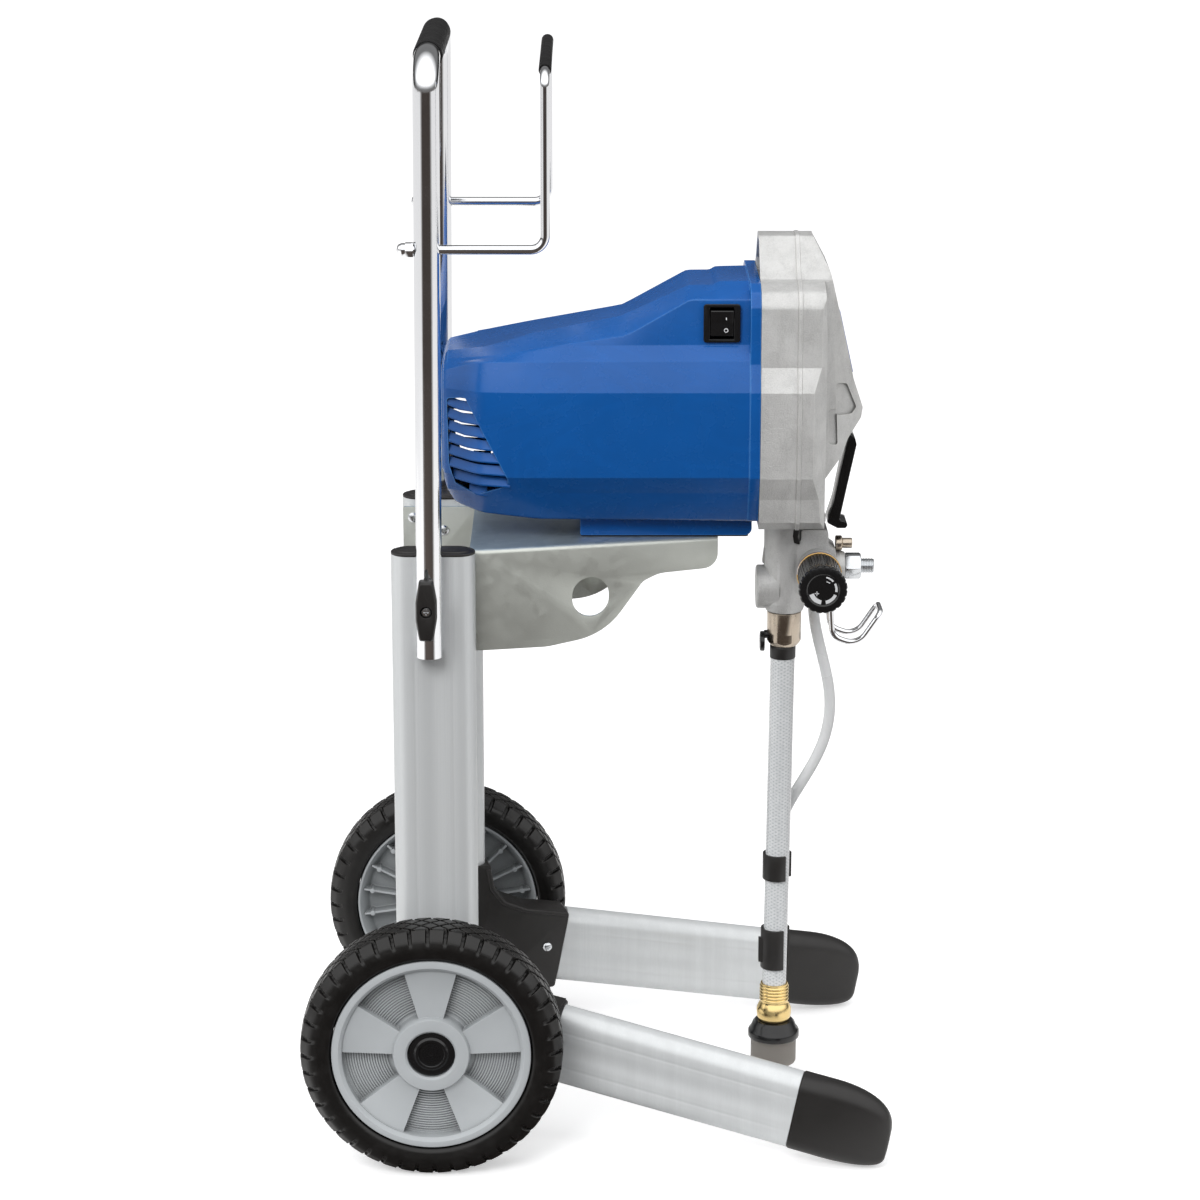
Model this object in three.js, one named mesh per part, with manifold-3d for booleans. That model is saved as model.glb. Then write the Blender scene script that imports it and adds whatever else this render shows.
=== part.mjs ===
// Airless paint sprayer on a two-wheeled cart. Millimetres, +Z up.
// +X points forward, from the wheels to the feet; -Y is the operator's right side. Dimensions are
// measured from the point on the floor under the middle of the axle. The finished object is then
// moved along X so that its origin is under the middle of its overall box.
import * as THREE from 'three';
import { mergeVertices } from 'three/addons/utils/BufferGeometryUtils.js';
import Module from 'manifold-3d';

const wasm = await Module();
wasm.setup();

// ---- Driving dimensions -------------------------------------------------------------------

const GAP = 0.3; // clearance between pieces that only touch on the real object

const MIDDLE_X = 143.31; // middle of the overall length, measured from the axle

// Wheels
const WHEEL_R = 114.5; // nine inch wheel
const TRACK_HALF = 187;
const TYRE_HALF_W = 24;
const TREAD_HALF_W = 14;
const RIM_R = 86.5;
const AXLE_R = 6.35; // half inch axle
const AXLE_END_Y = TRACK_HALF + 14;
const HUB_BORE_R = 6.6;

// Columns: flat-oval aluminium extrusion
const COLUMN_X = 2.25;
const COLUMN_Y = 103.6;
const COLUMN_W = 72.7;
const COLUMN_T = 30;
const COLUMN_WALL = 2.5;
const COLUMN_TOP = 536;
const COLUMN_BOTTOM = 52;
const CAP_H = 4;
const PLUG_H = 16;

// Legs: the same extrusion, lying down, splayed outwards and sloping to the floor
const LEG_T = 28;
const LEG_LENGTH = 220;
const LEG_START = new THREE.Vector3(108.5, 122.3, 90.9);
const LEG_PITCH = THREE.MathUtils.degToRad(11.2);
const LEG_SPLAY = THREE.MathUtils.degToRad(13.35);
const FOOT_LENGTH = 86;

// Handle and hose rack
const TUBE_R = 11.1;
const TUBE_WALL = 1.6;
const TUBE_X = -0.7;
const TUBE_Y = 130;
const TUBE_BOTTOM = 451;
const HANDLE_TOP = 960.3; // centre line of the crossbar
const HANDLE_LEAN = 3; // the crossbar stands this far forward of the tube ends
const HANDLE_BEND_R = 26;
const GRIP_HALF = 90;
const RACK_R = 4;
const RACK_Z = 803.8;
const RACK_TOP = 951;
const RACK_X = 100;
const CLAMP_X = -2;
const CLAMP_Z = 497;
const SLOT_BOTTOM = 473; // slot in the handle tube that the clamp screw passes through
const SLOT_TOP = 532;

// Platform bracket: folded sheet steel
const SHEET = 2.5;
const PLATE_TOP = 534.6;
const PLATE_REAR_X = 33;
const PLATE_FRONT_X = 250;
const PLATE_REAR_Y = COLUMN_Y - COLUMN_T / 2 - GAP;
const PLATE_FRONT_Y = 42;

// Sprayer body
const BODY_REAR_X = 9;
const BODY_FRONT_X = 284; // joint between the blue shroud and the cast housing
const HOUSING_FRONT_X = 315; // joint between the cast housing and its cover
const SHROUD_WALL = 3;
const COLLAR_W = 9; // raised collar round the front of the shroud
const CAST_WALL = 3.6;
const BODY_HALF_W = 86;

// Drive: motor pinion, gear, crank and yoke
const CRANK_Z = 652;
const GEAR_MODULE = 1.5;
const GEAR_TEETH = 60;
const PINION_TEETH = 12;
const MOTOR_Z = CRANK_Z - GEAR_MODULE * (GEAR_TEETH + PINION_TEETH) / 2;
const GEAR_X = 288;
const GEAR_T = 12;
const CRANK_THROW = 14;
const CRANK_PIN_R = 4;
const YOKE_X = 304;
const YOKE_T = 10;
const SHAFT_R = 5;

// Pump and fluid parts
const PUMP_X = 311.8;
const PUMP_R = 19;
const PUMP_TOP = 547.5;
const PUMP_BOTTOM = 456;
const PUMP_BORE_R = 8;
const CONTROL_X = 339.5;
const CONTROL_Z = 500.5;
const KNOB_REAR_Y = -44.5;
const KNOB_FACE_Y = -97;
const OUTLET_Z = 497;
const PRIME_X = 339;
const HOSE_R = 11;
const HOSE_BORE_R = 8.5;
const HOSE_TOP_X = 311;
const HOSE_END_X = 308;
const HOSE_TOP = 411.8;
const HOSE_END = 99;
const DRAIN_R = 5;
const STRAINER_R = 21;
const STRAINER_BOTTOM = 21.5;

// ---- Materials ----------------------------------------------------------------------------

const finish = (color, roughness, metalness) =>
  new THREE.MeshStandardMaterial({ color, roughness, metalness });
const MATERIALS = {
  extrusion: () => finish(0xc9cbcc, 0.42, 0.85),
  zinc: () => finish(0xc4c9bd, 0.38, 0.8),
  chrome: () => finish(0xe4e6ea, 0.08, 1),
  steel: () => finish(0x9a9ea2, 0.35, 0.9),
  casting: () => finish(0xbdbdbd, 0.5, 0.75),
  nickel: () => finish(0xb2a48e, 0.3, 0.9),
  brass: () => finish(0xc9a552, 0.28, 0.95),
  blue: () => finish(0x1a59a8, 0.4, 0),
  black: () => finish(0x1b1b1c, 0.5, 0),
  rubber: () => finish(0x18181a, 0.85, 0),
  hub: () => finish(0xa7a9ac, 0.5, 0),
  clear: () => finish(0xdfe3e3, 0.3, 0),
  copper: () => finish(0x9c5a35, 0.4, 0.8),
};

// ---- Solid helpers ------------------------------------------------------------------------

/** Leaves only merged positions, with the faces turned outwards. */
function closed(geometry) {
  let g = geometry.clone();
  g.deleteAttribute('normal');
  g.deleteAttribute('uv');
  g.clearGroups();
  g = mergeVertices(g, 1e-4);
  const p = g.attributes.position;
  const index = Array.from(g.index.array);
  const kept = [];
  let volume = 0;
  const a = new THREE.Vector3();
  const b = new THREE.Vector3();
  const c = new THREE.Vector3();
  for (let i = 0; i < index.length; i += 3) {
    const [i0, i1, i2] = index.slice(i, i + 3);
    if (i0 === i1 || i1 === i2 || i2 === i0) continue;
    kept.push(i0, i1, i2);
    a.fromBufferAttribute(p, i0);
    b.fromBufferAttribute(p, i1);
    c.fromBufferAttribute(p, i2);
    volume += a.dot(b.cross(c));
  }
  g.setIndex(volume < 0 ? kept.reverse() : kept);
  return g;
}

function toSolid(geometry) {
  const g = closed(geometry);
  return new wasm.Manifold(new wasm.Mesh({
    numProp: 3,
    vertProperties: new Float32Array(g.attributes.position.array),
    triVerts: new Uint32Array(g.index.array),
  }));
}

function toGeometry(solid) {
  const mesh = solid.getMesh();
  const g = new THREE.BufferGeometry();
  g.setAttribute('position', new THREE.BufferAttribute(new Float32Array(mesh.vertProperties), 3));
  g.setIndex(new THREE.BufferAttribute(new Uint32Array(mesh.triVerts), 1));
  return g;
}

const join = (...parts) => toGeometry(parts.map(toSolid).reduce((all, part) => all.add(part)));
const cut = (base, ...tools) =>
  toGeometry(tools.map(toSolid).reduce((left, tool) => left.subtract(tool), toSolid(base)));
const common = (...parts) =>
  toGeometry(parts.map(toSolid).reduce((all, part) => all.intersect(part)));

/** A box given by its lowest and highest corners. */
function box(low, high) {
  const size = high.map((value, i) => value - low[i]);
  const g = new THREE.BoxGeometry(...size);
  return g.translate(...high.map((value, i) => (value + low[i]) / 2));
}

/** A straight round bar from one point along 'x', 'y' or 'z'. */
function bar(radius, from, axis, length, sides = 16) {
  const g = new THREE.CylinderGeometry(radius, radius, Math.abs(length), sides);
  g.translate(0, length / 2, 0);
  if (axis === 'x') g.rotateZ(-Math.PI / 2);
  if (axis === 'z') g.rotateX(Math.PI / 2);
  return g.translate(...from);
}

/** A turned piece: points are [radius, height], spun about the chosen axis through a point. */
function turned(points, axis = 'z', at = [0, 0, 0], sides = 24) {
  const g = new THREE.LatheGeometry(points.map(([r, h]) => new THREE.Vector2(r, h)), sides);
  if (axis === 'x') g.rotateZ(-Math.PI / 2);
  if (axis === 'z') g.rotateX(Math.PI / 2);
  return g.translate(...at);
}

/** A turned ring whose profile closes on itself. */
const turnedRing = (points, axis, at, sides) => turned([...points, points[0]], axis, at, sides);

function shapeOf(points) {
  return new THREE.Shape(points.map(([u, v]) => new THREE.Vector2(u, v)));
}

/** A side outline in X and Z, from y0 to y1. */
function sideSlab(outline, y0, y1) {
  const shape = outline instanceof THREE.Shape ? outline : shapeOf(outline);
  const g = new THREE.ExtrudeGeometry(shape, { depth: y1 - y0, bevelEnabled: false, curveSegments: 6 });
  g.rotateX(Math.PI / 2);
  return g.translate(0, y1, 0);
}

/** A cross-section in Y and Z, from x0 to x1. */
function crossSlab(outline, x0, x1) {
  const shape = outline instanceof THREE.Shape ? outline : shapeOf(outline);
  const g = new THREE.ExtrudeGeometry(shape, { depth: x1 - x0, bevelEnabled: false, curveSegments: 6 });
  g.rotateX(Math.PI / 2);
  g.rotateZ(Math.PI / 2);
  return g.translate(x0, 0, 0);
}

/** A plan outline in X and Y, from z0 to z1. */
function planSlab(outline, z0, z1) {
  const shape = outline instanceof THREE.Shape ? outline : shapeOf(outline);
  const g = new THREE.ExtrudeGeometry(shape, { depth: z1 - z0, bevelEnabled: false, curveSegments: 6 });
  return g.translate(0, 0, z0);
}

/** Mirrors half an outline, listed from top to bottom, about its vertical axis. */
const mirrored = (half) => [...half, ...half.map(([u, v]) => [-u, v]).reverse()];

/** A flat-oval outline, width along the first axis. */
function oval(width, thickness) {
  const r = thickness / 2;
  const s = new THREE.Shape();
  s.moveTo(-width / 2 + r, -r);
  s.lineTo(width / 2 - r, -r);
  s.absarc(width / 2 - r, 0, r, -Math.PI / 2, Math.PI / 2, false);
  s.lineTo(-width / 2 + r, r);
  s.absarc(-width / 2 + r, 0, r, Math.PI / 2, Math.PI * 1.5, false);
  return s;
}

function ovalTube(width, thickness, wall) {
  const s = oval(width, thickness);
  s.holes.push(oval(width - 2 * wall, thickness - 2 * wall));
  return s;
}

/** A path of straight runs with rounded corners, sampled only where it bends. */
class BentPath extends THREE.Curve {
  constructor(corners, bendRadius, stepsPerBend = 6) {
    super();
    this.stations = [];
    const last = corners.length - 1;
    corners.forEach((corner, i) => {
      if (i === 0 || i === last) {
        const other = corners[i === 0 ? 1 : last - 1];
        const tangent = i === 0 ? other.clone().sub(corner) : corner.clone().sub(other);
        this.stations.push([corner.clone(), tangent.normalize()]);
        return;
      }
      const before = corner.clone().sub(corners[i - 1]).normalize();
      const after = corners[i + 1].clone().sub(corner).normalize();
      const turn = before.angleTo(after);
      const radius = Array.isArray(bendRadius) ? bendRadius[i - 1] : bendRadius;
      const reach = radius * Math.tan(turn / 2);
      const start = corner.clone().addScaledVector(before, -reach);
      const inward = after.clone().addScaledVector(before, -after.dot(before)).normalize();
      const centre = start.clone().addScaledVector(inward, radius);
      for (let k = 0; k <= stepsPerBend; k++) {
        const angle = (turn * k) / stepsPerBend;
        const tangent = before.clone().multiplyScalar(Math.cos(angle))
          .addScaledVector(inward, Math.sin(angle));
        const point = centre.clone().addScaledVector(inward, -radius * Math.cos(angle))
          .addScaledVector(before, radius * Math.sin(angle));
        this.stations.push([point, tangent]);
      }
    });
  }

  get steps() {
    return this.stations.length - 1;
  }

  station(u) {
    return this.stations[Math.round(u * this.steps)];
  }

  getPoint(u, target = new THREE.Vector3()) {
    return target.copy(this.station(u)[0]);
  }

  getPointAt(u, target) {
    return this.getPoint(u, target);
  }

  getTangentAt(u, target = new THREE.Vector3()) {
    return target.copy(this.station(u)[1]);
  }

  getSpacedPoints(divisions) {
    return this.getPoints(divisions);
  }
}

function roundSection(radius, bore, sides) {
  const ring = (r) => Array.from({ length: sides }, (_, i) => {
    const angle = (2 * Math.PI * i) / sides;
    return new THREE.Vector2(r * Math.cos(angle), r * Math.sin(angle));
  });
  const s = new THREE.Shape(ring(radius));
  if (bore > 0) s.holes.push(new THREE.Path(ring(bore)));
  return s;
}

/** Round bar or tube along corner points. The bend radius is one number, or one per corner. */
function bent(corners, bendRadius, radius, bore = 0, sides = 12, stepsPerBend = 6) {
  const path = new BentPath(corners.map((c) => new THREE.Vector3(...c)), bendRadius, stepsPerBend);
  return new THREE.ExtrudeGeometry(roundSection(radius, bore, sides), {
    steps: path.steps,
    bevelEnabled: false,
    extrudePath: path,
  });
}

// ---- Scene graph --------------------------------------------------------------------------

const group = new THREE.Group();

function add(name, geometry, material, parent = group) {
  const mesh = new THREE.Mesh(closed(geometry), MATERIALS[material]());
  mesh.name = name;
  parent.add(mesh);
  return mesh;
}

const SIDES = [['right', -1], ['left', 1]];

// ---- Cart frame ---------------------------------------------------------------------------

function column(side) {
  const tube = planSlab(ovalTube(COLUMN_W, COLUMN_T, COLUMN_WALL), COLUMN_BOTTOM, COLUMN_TOP);
  tube.translate(COLUMN_X, side * COLUMN_Y, 0);
  const axleHole = bar(AXLE_R + 0.4, [0, side * (COLUMN_Y - 20), WHEEL_R], 'y', side * 40, 20);
  const clampHole = bar(3.3, [CLAMP_X, side * COLUMN_Y, CLAMP_Z], 'y', side * COLUMN_T, 16);
  return cut(tube, axleHole, clampHole);
}

function columnCap(side) {
  const top = planSlab(oval(COLUMN_W, COLUMN_T), COLUMN_TOP + 0.05, COLUMN_TOP + CAP_H);
  const inset = 2 * (COLUMN_WALL + GAP);
  const plug = planSlab(oval(COLUMN_W - inset, COLUMN_T - inset), COLUMN_TOP - PLUG_H, COLUMN_TOP + 1);
  return join(top, plug).translate(COLUMN_X, side * COLUMN_Y, 0);
}

/** Moves geometry built at the leg's own start point, X along the leg, onto the cart. */
function placeOnLeg(geometry, side) {
  geometry.rotateY(LEG_PITCH);
  geometry.rotateZ(side * LEG_SPLAY);
  return geometry.translate(LEG_START.x, side * LEG_START.y, LEG_START.z);
}

/** Extrudes an outline in (Y, Z) along the leg's X. */
const alongLeg = (outline, x0, x1) => crossSlab(outline, x0, x1);

function legOval(inset) {
  const r = LEG_T / 2 - inset;
  const reach = COLUMN_W / 2 - LEG_T / 2;
  const s = new THREE.Shape();
  s.moveTo(r, -reach);
  s.lineTo(r, reach);
  s.absarc(0, reach, r, 0, Math.PI, false);
  s.lineTo(-r, -reach);
  s.absarc(0, -reach, r, Math.PI, 2 * Math.PI, false);
  return s;
}

function leg(side) {
  const section = legOval(0);
  section.holes.push(legOval(COLUMN_WALL));
  return placeOnLeg(alongLeg(section, GAP, LEG_LENGTH - GAP), side);
}

const TENON_LENGTH = 32;

function cornerBracket(side) {
  const pivotX = 30;
  const top = 180;
  const armTop = 128;
  const reach = (LEG_START.x - pivotX) / Math.cos(LEG_SPLAY);
  const block = new THREE.Shape();
  block.moveTo(-6, 46);
  block.lineTo(reach - 7.7, 52);
  block.lineTo(reach + 7, armTop - 2);
  block.lineTo(46, armTop + 5);
  block.quadraticCurveTo(16, armTop + 12, 11.5, top);
  block.lineTo(-6, top);
  const body = sideSlab(block, -LEG_T / 2, LEG_T / 2);
  body.rotateZ(side * LEG_SPLAY);
  body.translate(pivotX, side * COLUMN_Y, 0);
  const shadow = planSlab(oval(COLUMN_W + 2 * GAP, COLUMN_T + 2 * GAP), COLUMN_BOTTOM - GAP, 600);
  shadow.translate(COLUMN_X, side * COLUMN_Y, 0);
  const behind = box([-60, side * COLUMN_Y - 40, 0], [pivotX, side * COLUMN_Y + 40, 300]);
  const arm = cut(body, shadow, behind);
  const inset = 2 * (COLUMN_WALL + GAP);
  const shelf = planSlab(oval(COLUMN_W, COLUMN_T), 46, COLUMN_BOTTOM - GAP);
  shelf.translate(COLUMN_X, side * COLUMN_Y, 0);
  const spigot = planSlab(oval(COLUMN_W - inset, COLUMN_T - inset), 50, 150);
  spigot.translate(COLUMN_X, side * COLUMN_Y, 0);
  const tenon = placeOnLeg(alongLeg(legOval(COLUMN_WALL + GAP), -6, TENON_LENGTH), side);
  const axleHole = bar(AXLE_R + 0.15, [0, side * (COLUMN_Y - 30), WHEEL_R], 'y', side * 60, 20);
  return cut(join(arm, shelf, spigot, tenon), axleHole);
}

function cornerScrew(side) {
  const face = LEG_T / 2 + 0.2;
  const head = turned([[0, 2.4], [3, 2.2], [4.6, 0.9], [4.8, 0], [0, 0]], 'z', [0, 0, 0], 20);
  head.rotateX(side * Math.PI / 2);
  head.translate(66, -side * face, 93);
  head.rotateZ(side * LEG_SPLAY);
  return head.translate(30, side * COLUMN_Y, 0);
}

function foot(side) {
  const start = LEG_LENGTH;
  const end = LEG_LENGTH + FOOT_LENGTH;
  const profile = new THREE.Shape();
  profile.moveTo(start, 36.6);
  profile.lineTo(start + 42, 37.2);
  profile.quadraticCurveTo(start + 56, 34, end - 16, 21);
  profile.quadraticCurveTo(end + 1, 7, end - 1, -8);
  profile.quadraticCurveTo(end - 6, -24, start + 64, -33.5);
  profile.lineTo(start + 52, -39.6);
  profile.lineTo(start, -36.6);
  const plan = new THREE.Shape();
  plan.moveTo(start, -LEG_T);
  plan.lineTo(start + 30, -LEG_T);
  plan.quadraticCurveTo(start + 58, -16, end + 1, -5);
  plan.lineTo(end + 1, 5);
  plan.quadraticCurveTo(start + 58, 16, start + 30, LEG_T);
  plan.lineTo(start, LEG_T);
  const body = common(
    sideSlab(profile, -LEG_T, LEG_T),
    alongLeg(footSection(), start, end + 2),
    planSlab(plan, -60, 60),
  );
  const plug = alongLeg(legOval(COLUMN_WALL + GAP), start - 24, start + 4);
  const whole = placeOnLeg(join(body, plug), side);
  return common(whole, box([0, -400, 0], [600, 400, 300]));
}

/** The leg's oval, slightly proud all round, made taller for the foot's ridge and sole. */
function footSection() {
  const half = LEG_T / 2 + 0.8;
  const top = 40;
  const s = new THREE.Shape();
  s.moveTo(-half, -26);
  s.quadraticCurveTo(-half, -top, 0, -top - 1);
  s.quadraticCurveTo(half, -top, half, -26);
  s.lineTo(half, 26);
  s.quadraticCurveTo(half, top, 0, top);
  s.quadraticCurveTo(-half, top, -half, 26);
  return s;
}

for (const [word, side] of SIDES) {
  add(`${word}_column`, column(side), 'extrusion');
  add(`${word}_column_cap`, columnCap(side), 'black');
  add(`${word}_corner_bracket`, cornerBracket(side), 'black');
  add(`${word}_corner_screw`, cornerScrew(side), 'steel');
  add(`${word}_leg`, leg(side), 'extrusion');
  add(`${word}_foot`, foot(side), 'black');
}

/** Half-width of the platform's side flange at a distance forward of the axle. */
function flangeY(x) {
  const t = Math.max(0, (x - 45) / (PLATE_FRONT_X - 45));
  return PLATE_REAR_Y - t * (PLATE_REAR_Y - PLATE_FRONT_Y);
}

function flangeOutline() {
  const s = new THREE.Shape();
  s.moveTo(-33, 530);
  s.lineTo(-33, 444.5);
  s.lineTo(100, 443.8);
  s.quadraticCurveTo(140, 447, 167, 477);
  s.lineTo(184, 498);
  s.quadraticCurveTo(188, 504, 198, 504.5);
  s.lineTo(236, 506.5);
  s.quadraticCurveTo(250, 509, 250, 522);
  s.lineTo(250, PLATE_TOP);
  s.lineTo(PLATE_REAR_X, PLATE_TOP);
  s.lineTo(PLATE_REAR_X, 530);
  const hole = new THREE.Path();
  hole.moveTo(154, 485);
  hole.lineTo(154, 488.5);
  hole.absarc(138, 488.5, 16, 0, Math.PI, false);
  hole.lineTo(122, 485);
  hole.absarc(138, 485, 16, Math.PI, 2 * Math.PI, false);
  s.holes.push(hole);
  return s;
}

function platformBracket() {
  const planHalf = (offset) => [
    [-34, PLATE_REAR_Y - offset],
    [45, flangeY(45) - offset],
    [PLATE_FRONT_X + 1, flangeY(PLATE_FRONT_X) - offset],
  ];
  const outline = (offset) => [...planHalf(offset), ...planHalf(offset).map(([x, y]) => [x, -y]).reverse()];
  const channel = cut(planSlab(outline(0), 430, PLATE_TOP), planSlab(outline(SHEET), 420, PLATE_TOP - SHEET));
  const side = common(channel, sideSlab(flangeOutline(), -120, 120));
  const innerY = PLATE_REAR_Y - SHEET;
  const rearGap = box([-60, -innerY, PLATE_TOP - 40], [PLATE_REAR_X, innerY, 600]);
  return cut(side, rearGap);
}

add('platform_bracket', platformBracket(), 'zinc');

// ---- Wheels -------------------------------------------------------------------------------

const WEB = { back: -4, front: 8, rim: 21, boss: -66, hubRing: 32.5, recess: 21, recessFloor: 15 };
const SPOKE_COUNT = 5;

function tyreProfile() {
  return [
    [RIM_R + 0.5, -19], [96, -TYRE_HALF_W], [WHEEL_R - 6, -TYRE_HALF_W + 1.5],
    [WHEEL_R - 0.5, -TREAD_HALF_W], [WHEEL_R - 0.5, TREAD_HALF_W],
    [WHEEL_R - 6, TYRE_HALF_W - 1.5], [96, TYRE_HALF_W], [RIM_R + 0.5, 19],
  ];
}

function spoke(angle) {
  const half = Math.PI / SPOKE_COUNT / 2;
  const s = new THREE.Shape();
  s.absarc(0, 0, WEB.hubRing - 1, angle - half, angle + half, false);
  s.absarc(0, 0, 78.5, angle + half, angle - half, true);
  const g = new THREE.ExtrudeGeometry(s, { depth: 10, bevelEnabled: false, curveSegments: 4 });
  g.translate(0, 0, WEB.front - 1);
  return g.rotateX(-Math.PI / 2);
}

function wheelHub() {
  const profile = [
    [HUB_BORE_R, WEB.boss], [16, WEB.boss], [16, WEB.back - 4], [30, WEB.back], [76, WEB.back],
    [77, -20], [RIM_R, -20], [RIM_R, WEB.rim], [80, WEB.rim + 1], [77.5, WEB.rim - 2],
    [77.5, WEB.front], [34, WEB.front], [WEB.hubRing, WEB.rim], [WEB.recess, WEB.rim],
    [WEB.recess, WEB.recessFloor], [HUB_BORE_R, WEB.recessFloor],
  ];
  const spokes = Array.from({ length: SPOKE_COUNT }, (_, i) =>
    spoke(Math.PI / 2 + (2 * Math.PI * i) / SPOKE_COUNT));
  return join(turnedRing(profile, 'y', [0, 0, 0], 30), ...spokes);
}

for (const [word, side] of SIDES) {
  const wheel = new THREE.Group();
  wheel.position.set(0, side * TRACK_HALF, WHEEL_R);
  if (side < 0) wheel.rotation.z = Math.PI;
  group.add(wheel);
  add(`${word}_tyre`, turnedRing(tyreProfile(), 'y', [0, 0, 0], 36), 'rubber', wheel);
  add(`${word}_wheel_hub`, wheelHub(), 'hub', wheel);
  const cap = [
    [0, WEB.recessFloor + 0.3], [WEB.recess - 0.4, WEB.recessFloor + 0.3], [WEB.recess - 0.4, 18],
    [17, 19.5], [0, 20.5],
  ];
  add(`${word}_axle_cap`, turned(cap, 'y', [0, 0, 0], 28), 'black', wheel);
}
add('axle', bar(AXLE_R, [0, -AXLE_END_Y, WHEEL_R], 'y', 2 * AXLE_END_Y, 32), 'steel');

// ---- Handle, hose rack and clamps ---------------------------------------------------------

/** Slot through both walls of one tube: wide enough for the clamp screw, then narrowing to a tip. */
function clampSlot(side) {
  const half = [
    [0, SLOT_BOTTOM], [2.4, SLOT_BOTTOM + 1], [3.4, SLOT_BOTTOM + 3.4],
    [3.4, SLOT_TOP - 16], [1.9, SLOT_TOP - 9], [1.5, SLOT_TOP - 2], [0, SLOT_TOP],
  ];
  const outline = [...half, ...half.slice(1, -1).reverse().map(([x, z]) => [-x, z])];
  const ys = [side * (TUBE_Y - 20), side * (TUBE_Y + 20)];
  return sideSlab(shapeOf(outline), Math.min(...ys), Math.max(...ys)).translate(CLAMP_X, 0, 0);
}

function handleTube() {
  const tube = bent([
    [TUBE_X, -TUBE_Y, TUBE_BOTTOM], [TUBE_X + HANDLE_LEAN, -TUBE_Y, HANDLE_TOP],
    [TUBE_X + HANDLE_LEAN, TUBE_Y, HANDLE_TOP], [TUBE_X, TUBE_Y, TUBE_BOTTOM],
  ], HANDLE_BEND_R, TUBE_R, TUBE_R - TUBE_WALL, 14, 4);
  const holes = [];
  for (const [, side] of SIDES) {
    holes.push(bar(RACK_R + GAP, [TUBE_X - 20, side * TUBE_Y, RACK_Z], 'x', 40, 12));
    holes.push(clampSlot(side));
  }
  return cut(tube, ...holes);
}

/** X of the handle tube's centre line at the rack. */
const TUBE_RACK_X = TUBE_X + (HANDLE_LEAN * (RACK_Z - TUBE_BOTTOM)) / (HANDLE_TOP - TUBE_BOTTOM);
const RACK_END_X = TUBE_RACK_X - TUBE_R - 8;

function hoseRack() {
  return bent([
    [RACK_END_X, -TUBE_Y, RACK_Z], [RACK_X, -TUBE_Y, RACK_Z], [RACK_X, -TUBE_Y, RACK_TOP],
    [RACK_X, TUBE_Y, RACK_TOP], [RACK_X, TUBE_Y, RACK_Z], [RACK_END_X, TUBE_Y, RACK_Z],
  ], 12, RACK_R, 0, 10, 4);
}

function rackNut(side) {
  const face = TUBE_RACK_X - TUBE_R - GAP;
  const hex = bar(6.6, [face, side * TUBE_Y, RACK_Z], 'x', -7, 6);
  const dome = turned([[0, 14], [3, 13.2], [5, 11], [5.8, 7], [5.8, 6], [0, 6]], 'x', [0, 0, 0], 16);
  dome.rotateZ(Math.PI);
  dome.translate(face, side * TUBE_Y, RACK_Z);
  const bore = bar(RACK_R + GAP, [face + 1, side * TUBE_Y, RACK_Z], 'x', RACK_END_X - face - 2, 16);
  return cut(join(hex, dome), bore);
}

function clampKnob(side) {
  const half = 26;
  const s = shapeOf([
    [-6, half], [6, half], [9, 8], [9, -8], [6, -half], [-6, -half], [-9, -8], [-9, 8],
  ]);
  const near = TUBE_Y + TUBE_R + 0.5;
  const wing = sideSlab(s, side > 0 ? near : -near - 14, side > 0 ? near + 14 : -near);
  wing.translate(CLAMP_X, 0, CLAMP_Z);
  const pocket = bar(5.2, [CLAMP_X, side * (near + 10), CLAMP_Z], 'y', side * 10, 20);
  const hole = bar(3.5, [CLAMP_X, side * (near - 1), CLAMP_Z], 'y', side * 20, 16);
  return cut(wing, pocket, hole);
}

/** The clamp's screw: head in the knob, shank through tube slot and column, plate inside the column. */
function clampBolt(side) {
  const inner = COLUMN_Y + COLUMN_T / 2 - COLUMN_WALL - GAP;
  const head = TUBE_Y + TUBE_R + 0.5 + 10.3;
  const points = [
    [0, inner - 3], [8.5, inner - 3], [8.5, inner], [3, inner], [3, head], [4.7, head],
    [4.7, head + 2.2], [3.6, head + 3.2], [0, head + 3.4],
  ];
  const g = turned(points, 'y', [0, 0, 0], 20);
  if (side < 0) g.rotateZ(Math.PI);
  return g.translate(CLAMP_X, 0, CLAMP_Z);
}

add('handle_tube', handleTube(), 'chrome');
add('handle_grip', turnedRing([
  [TUBE_R + GAP, -GRIP_HALF], [TUBE_R + 1.4, -GRIP_HALF],
  [TUBE_R + 1.4, GRIP_HALF], [TUBE_R + GAP, GRIP_HALF],
], 'y', [TUBE_X + HANDLE_LEAN, 0, HANDLE_TOP], 24), 'black');
add('hose_rack', hoseRack(), 'chrome');
add('hose_rack_sleeve', turnedRing([
  [RACK_R + 0.2, -113], [RACK_R + 1.3, -113], [RACK_R + 1.3, 113], [RACK_R + 0.2, 113],
], 'y', [RACK_X, 0, RACK_TOP], 20), 'black');
for (const [word, side] of SIDES) {
  add(`${word}_rack_nut`, rackNut(side), 'chrome');
  add(`${word}_clamp_knob`, clampKnob(side), 'black');
  add(`${word}_clamp_bolt`, clampBolt(side), 'steel');
}

// ---- Sprayer shell ------------------------------------------------------------------------

/** Value at x on the line through knots of [x, value]. */
function along(knots, x) {
  const i = Math.max(1, knots.findIndex(([knotX]) => x <= knotX));
  const [x0, v0] = knots[i - 1];
  const [x1, v1] = knots[i];
  return THREE.MathUtils.mapLinear(x, x0, x1, v0, v1);
}

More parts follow.
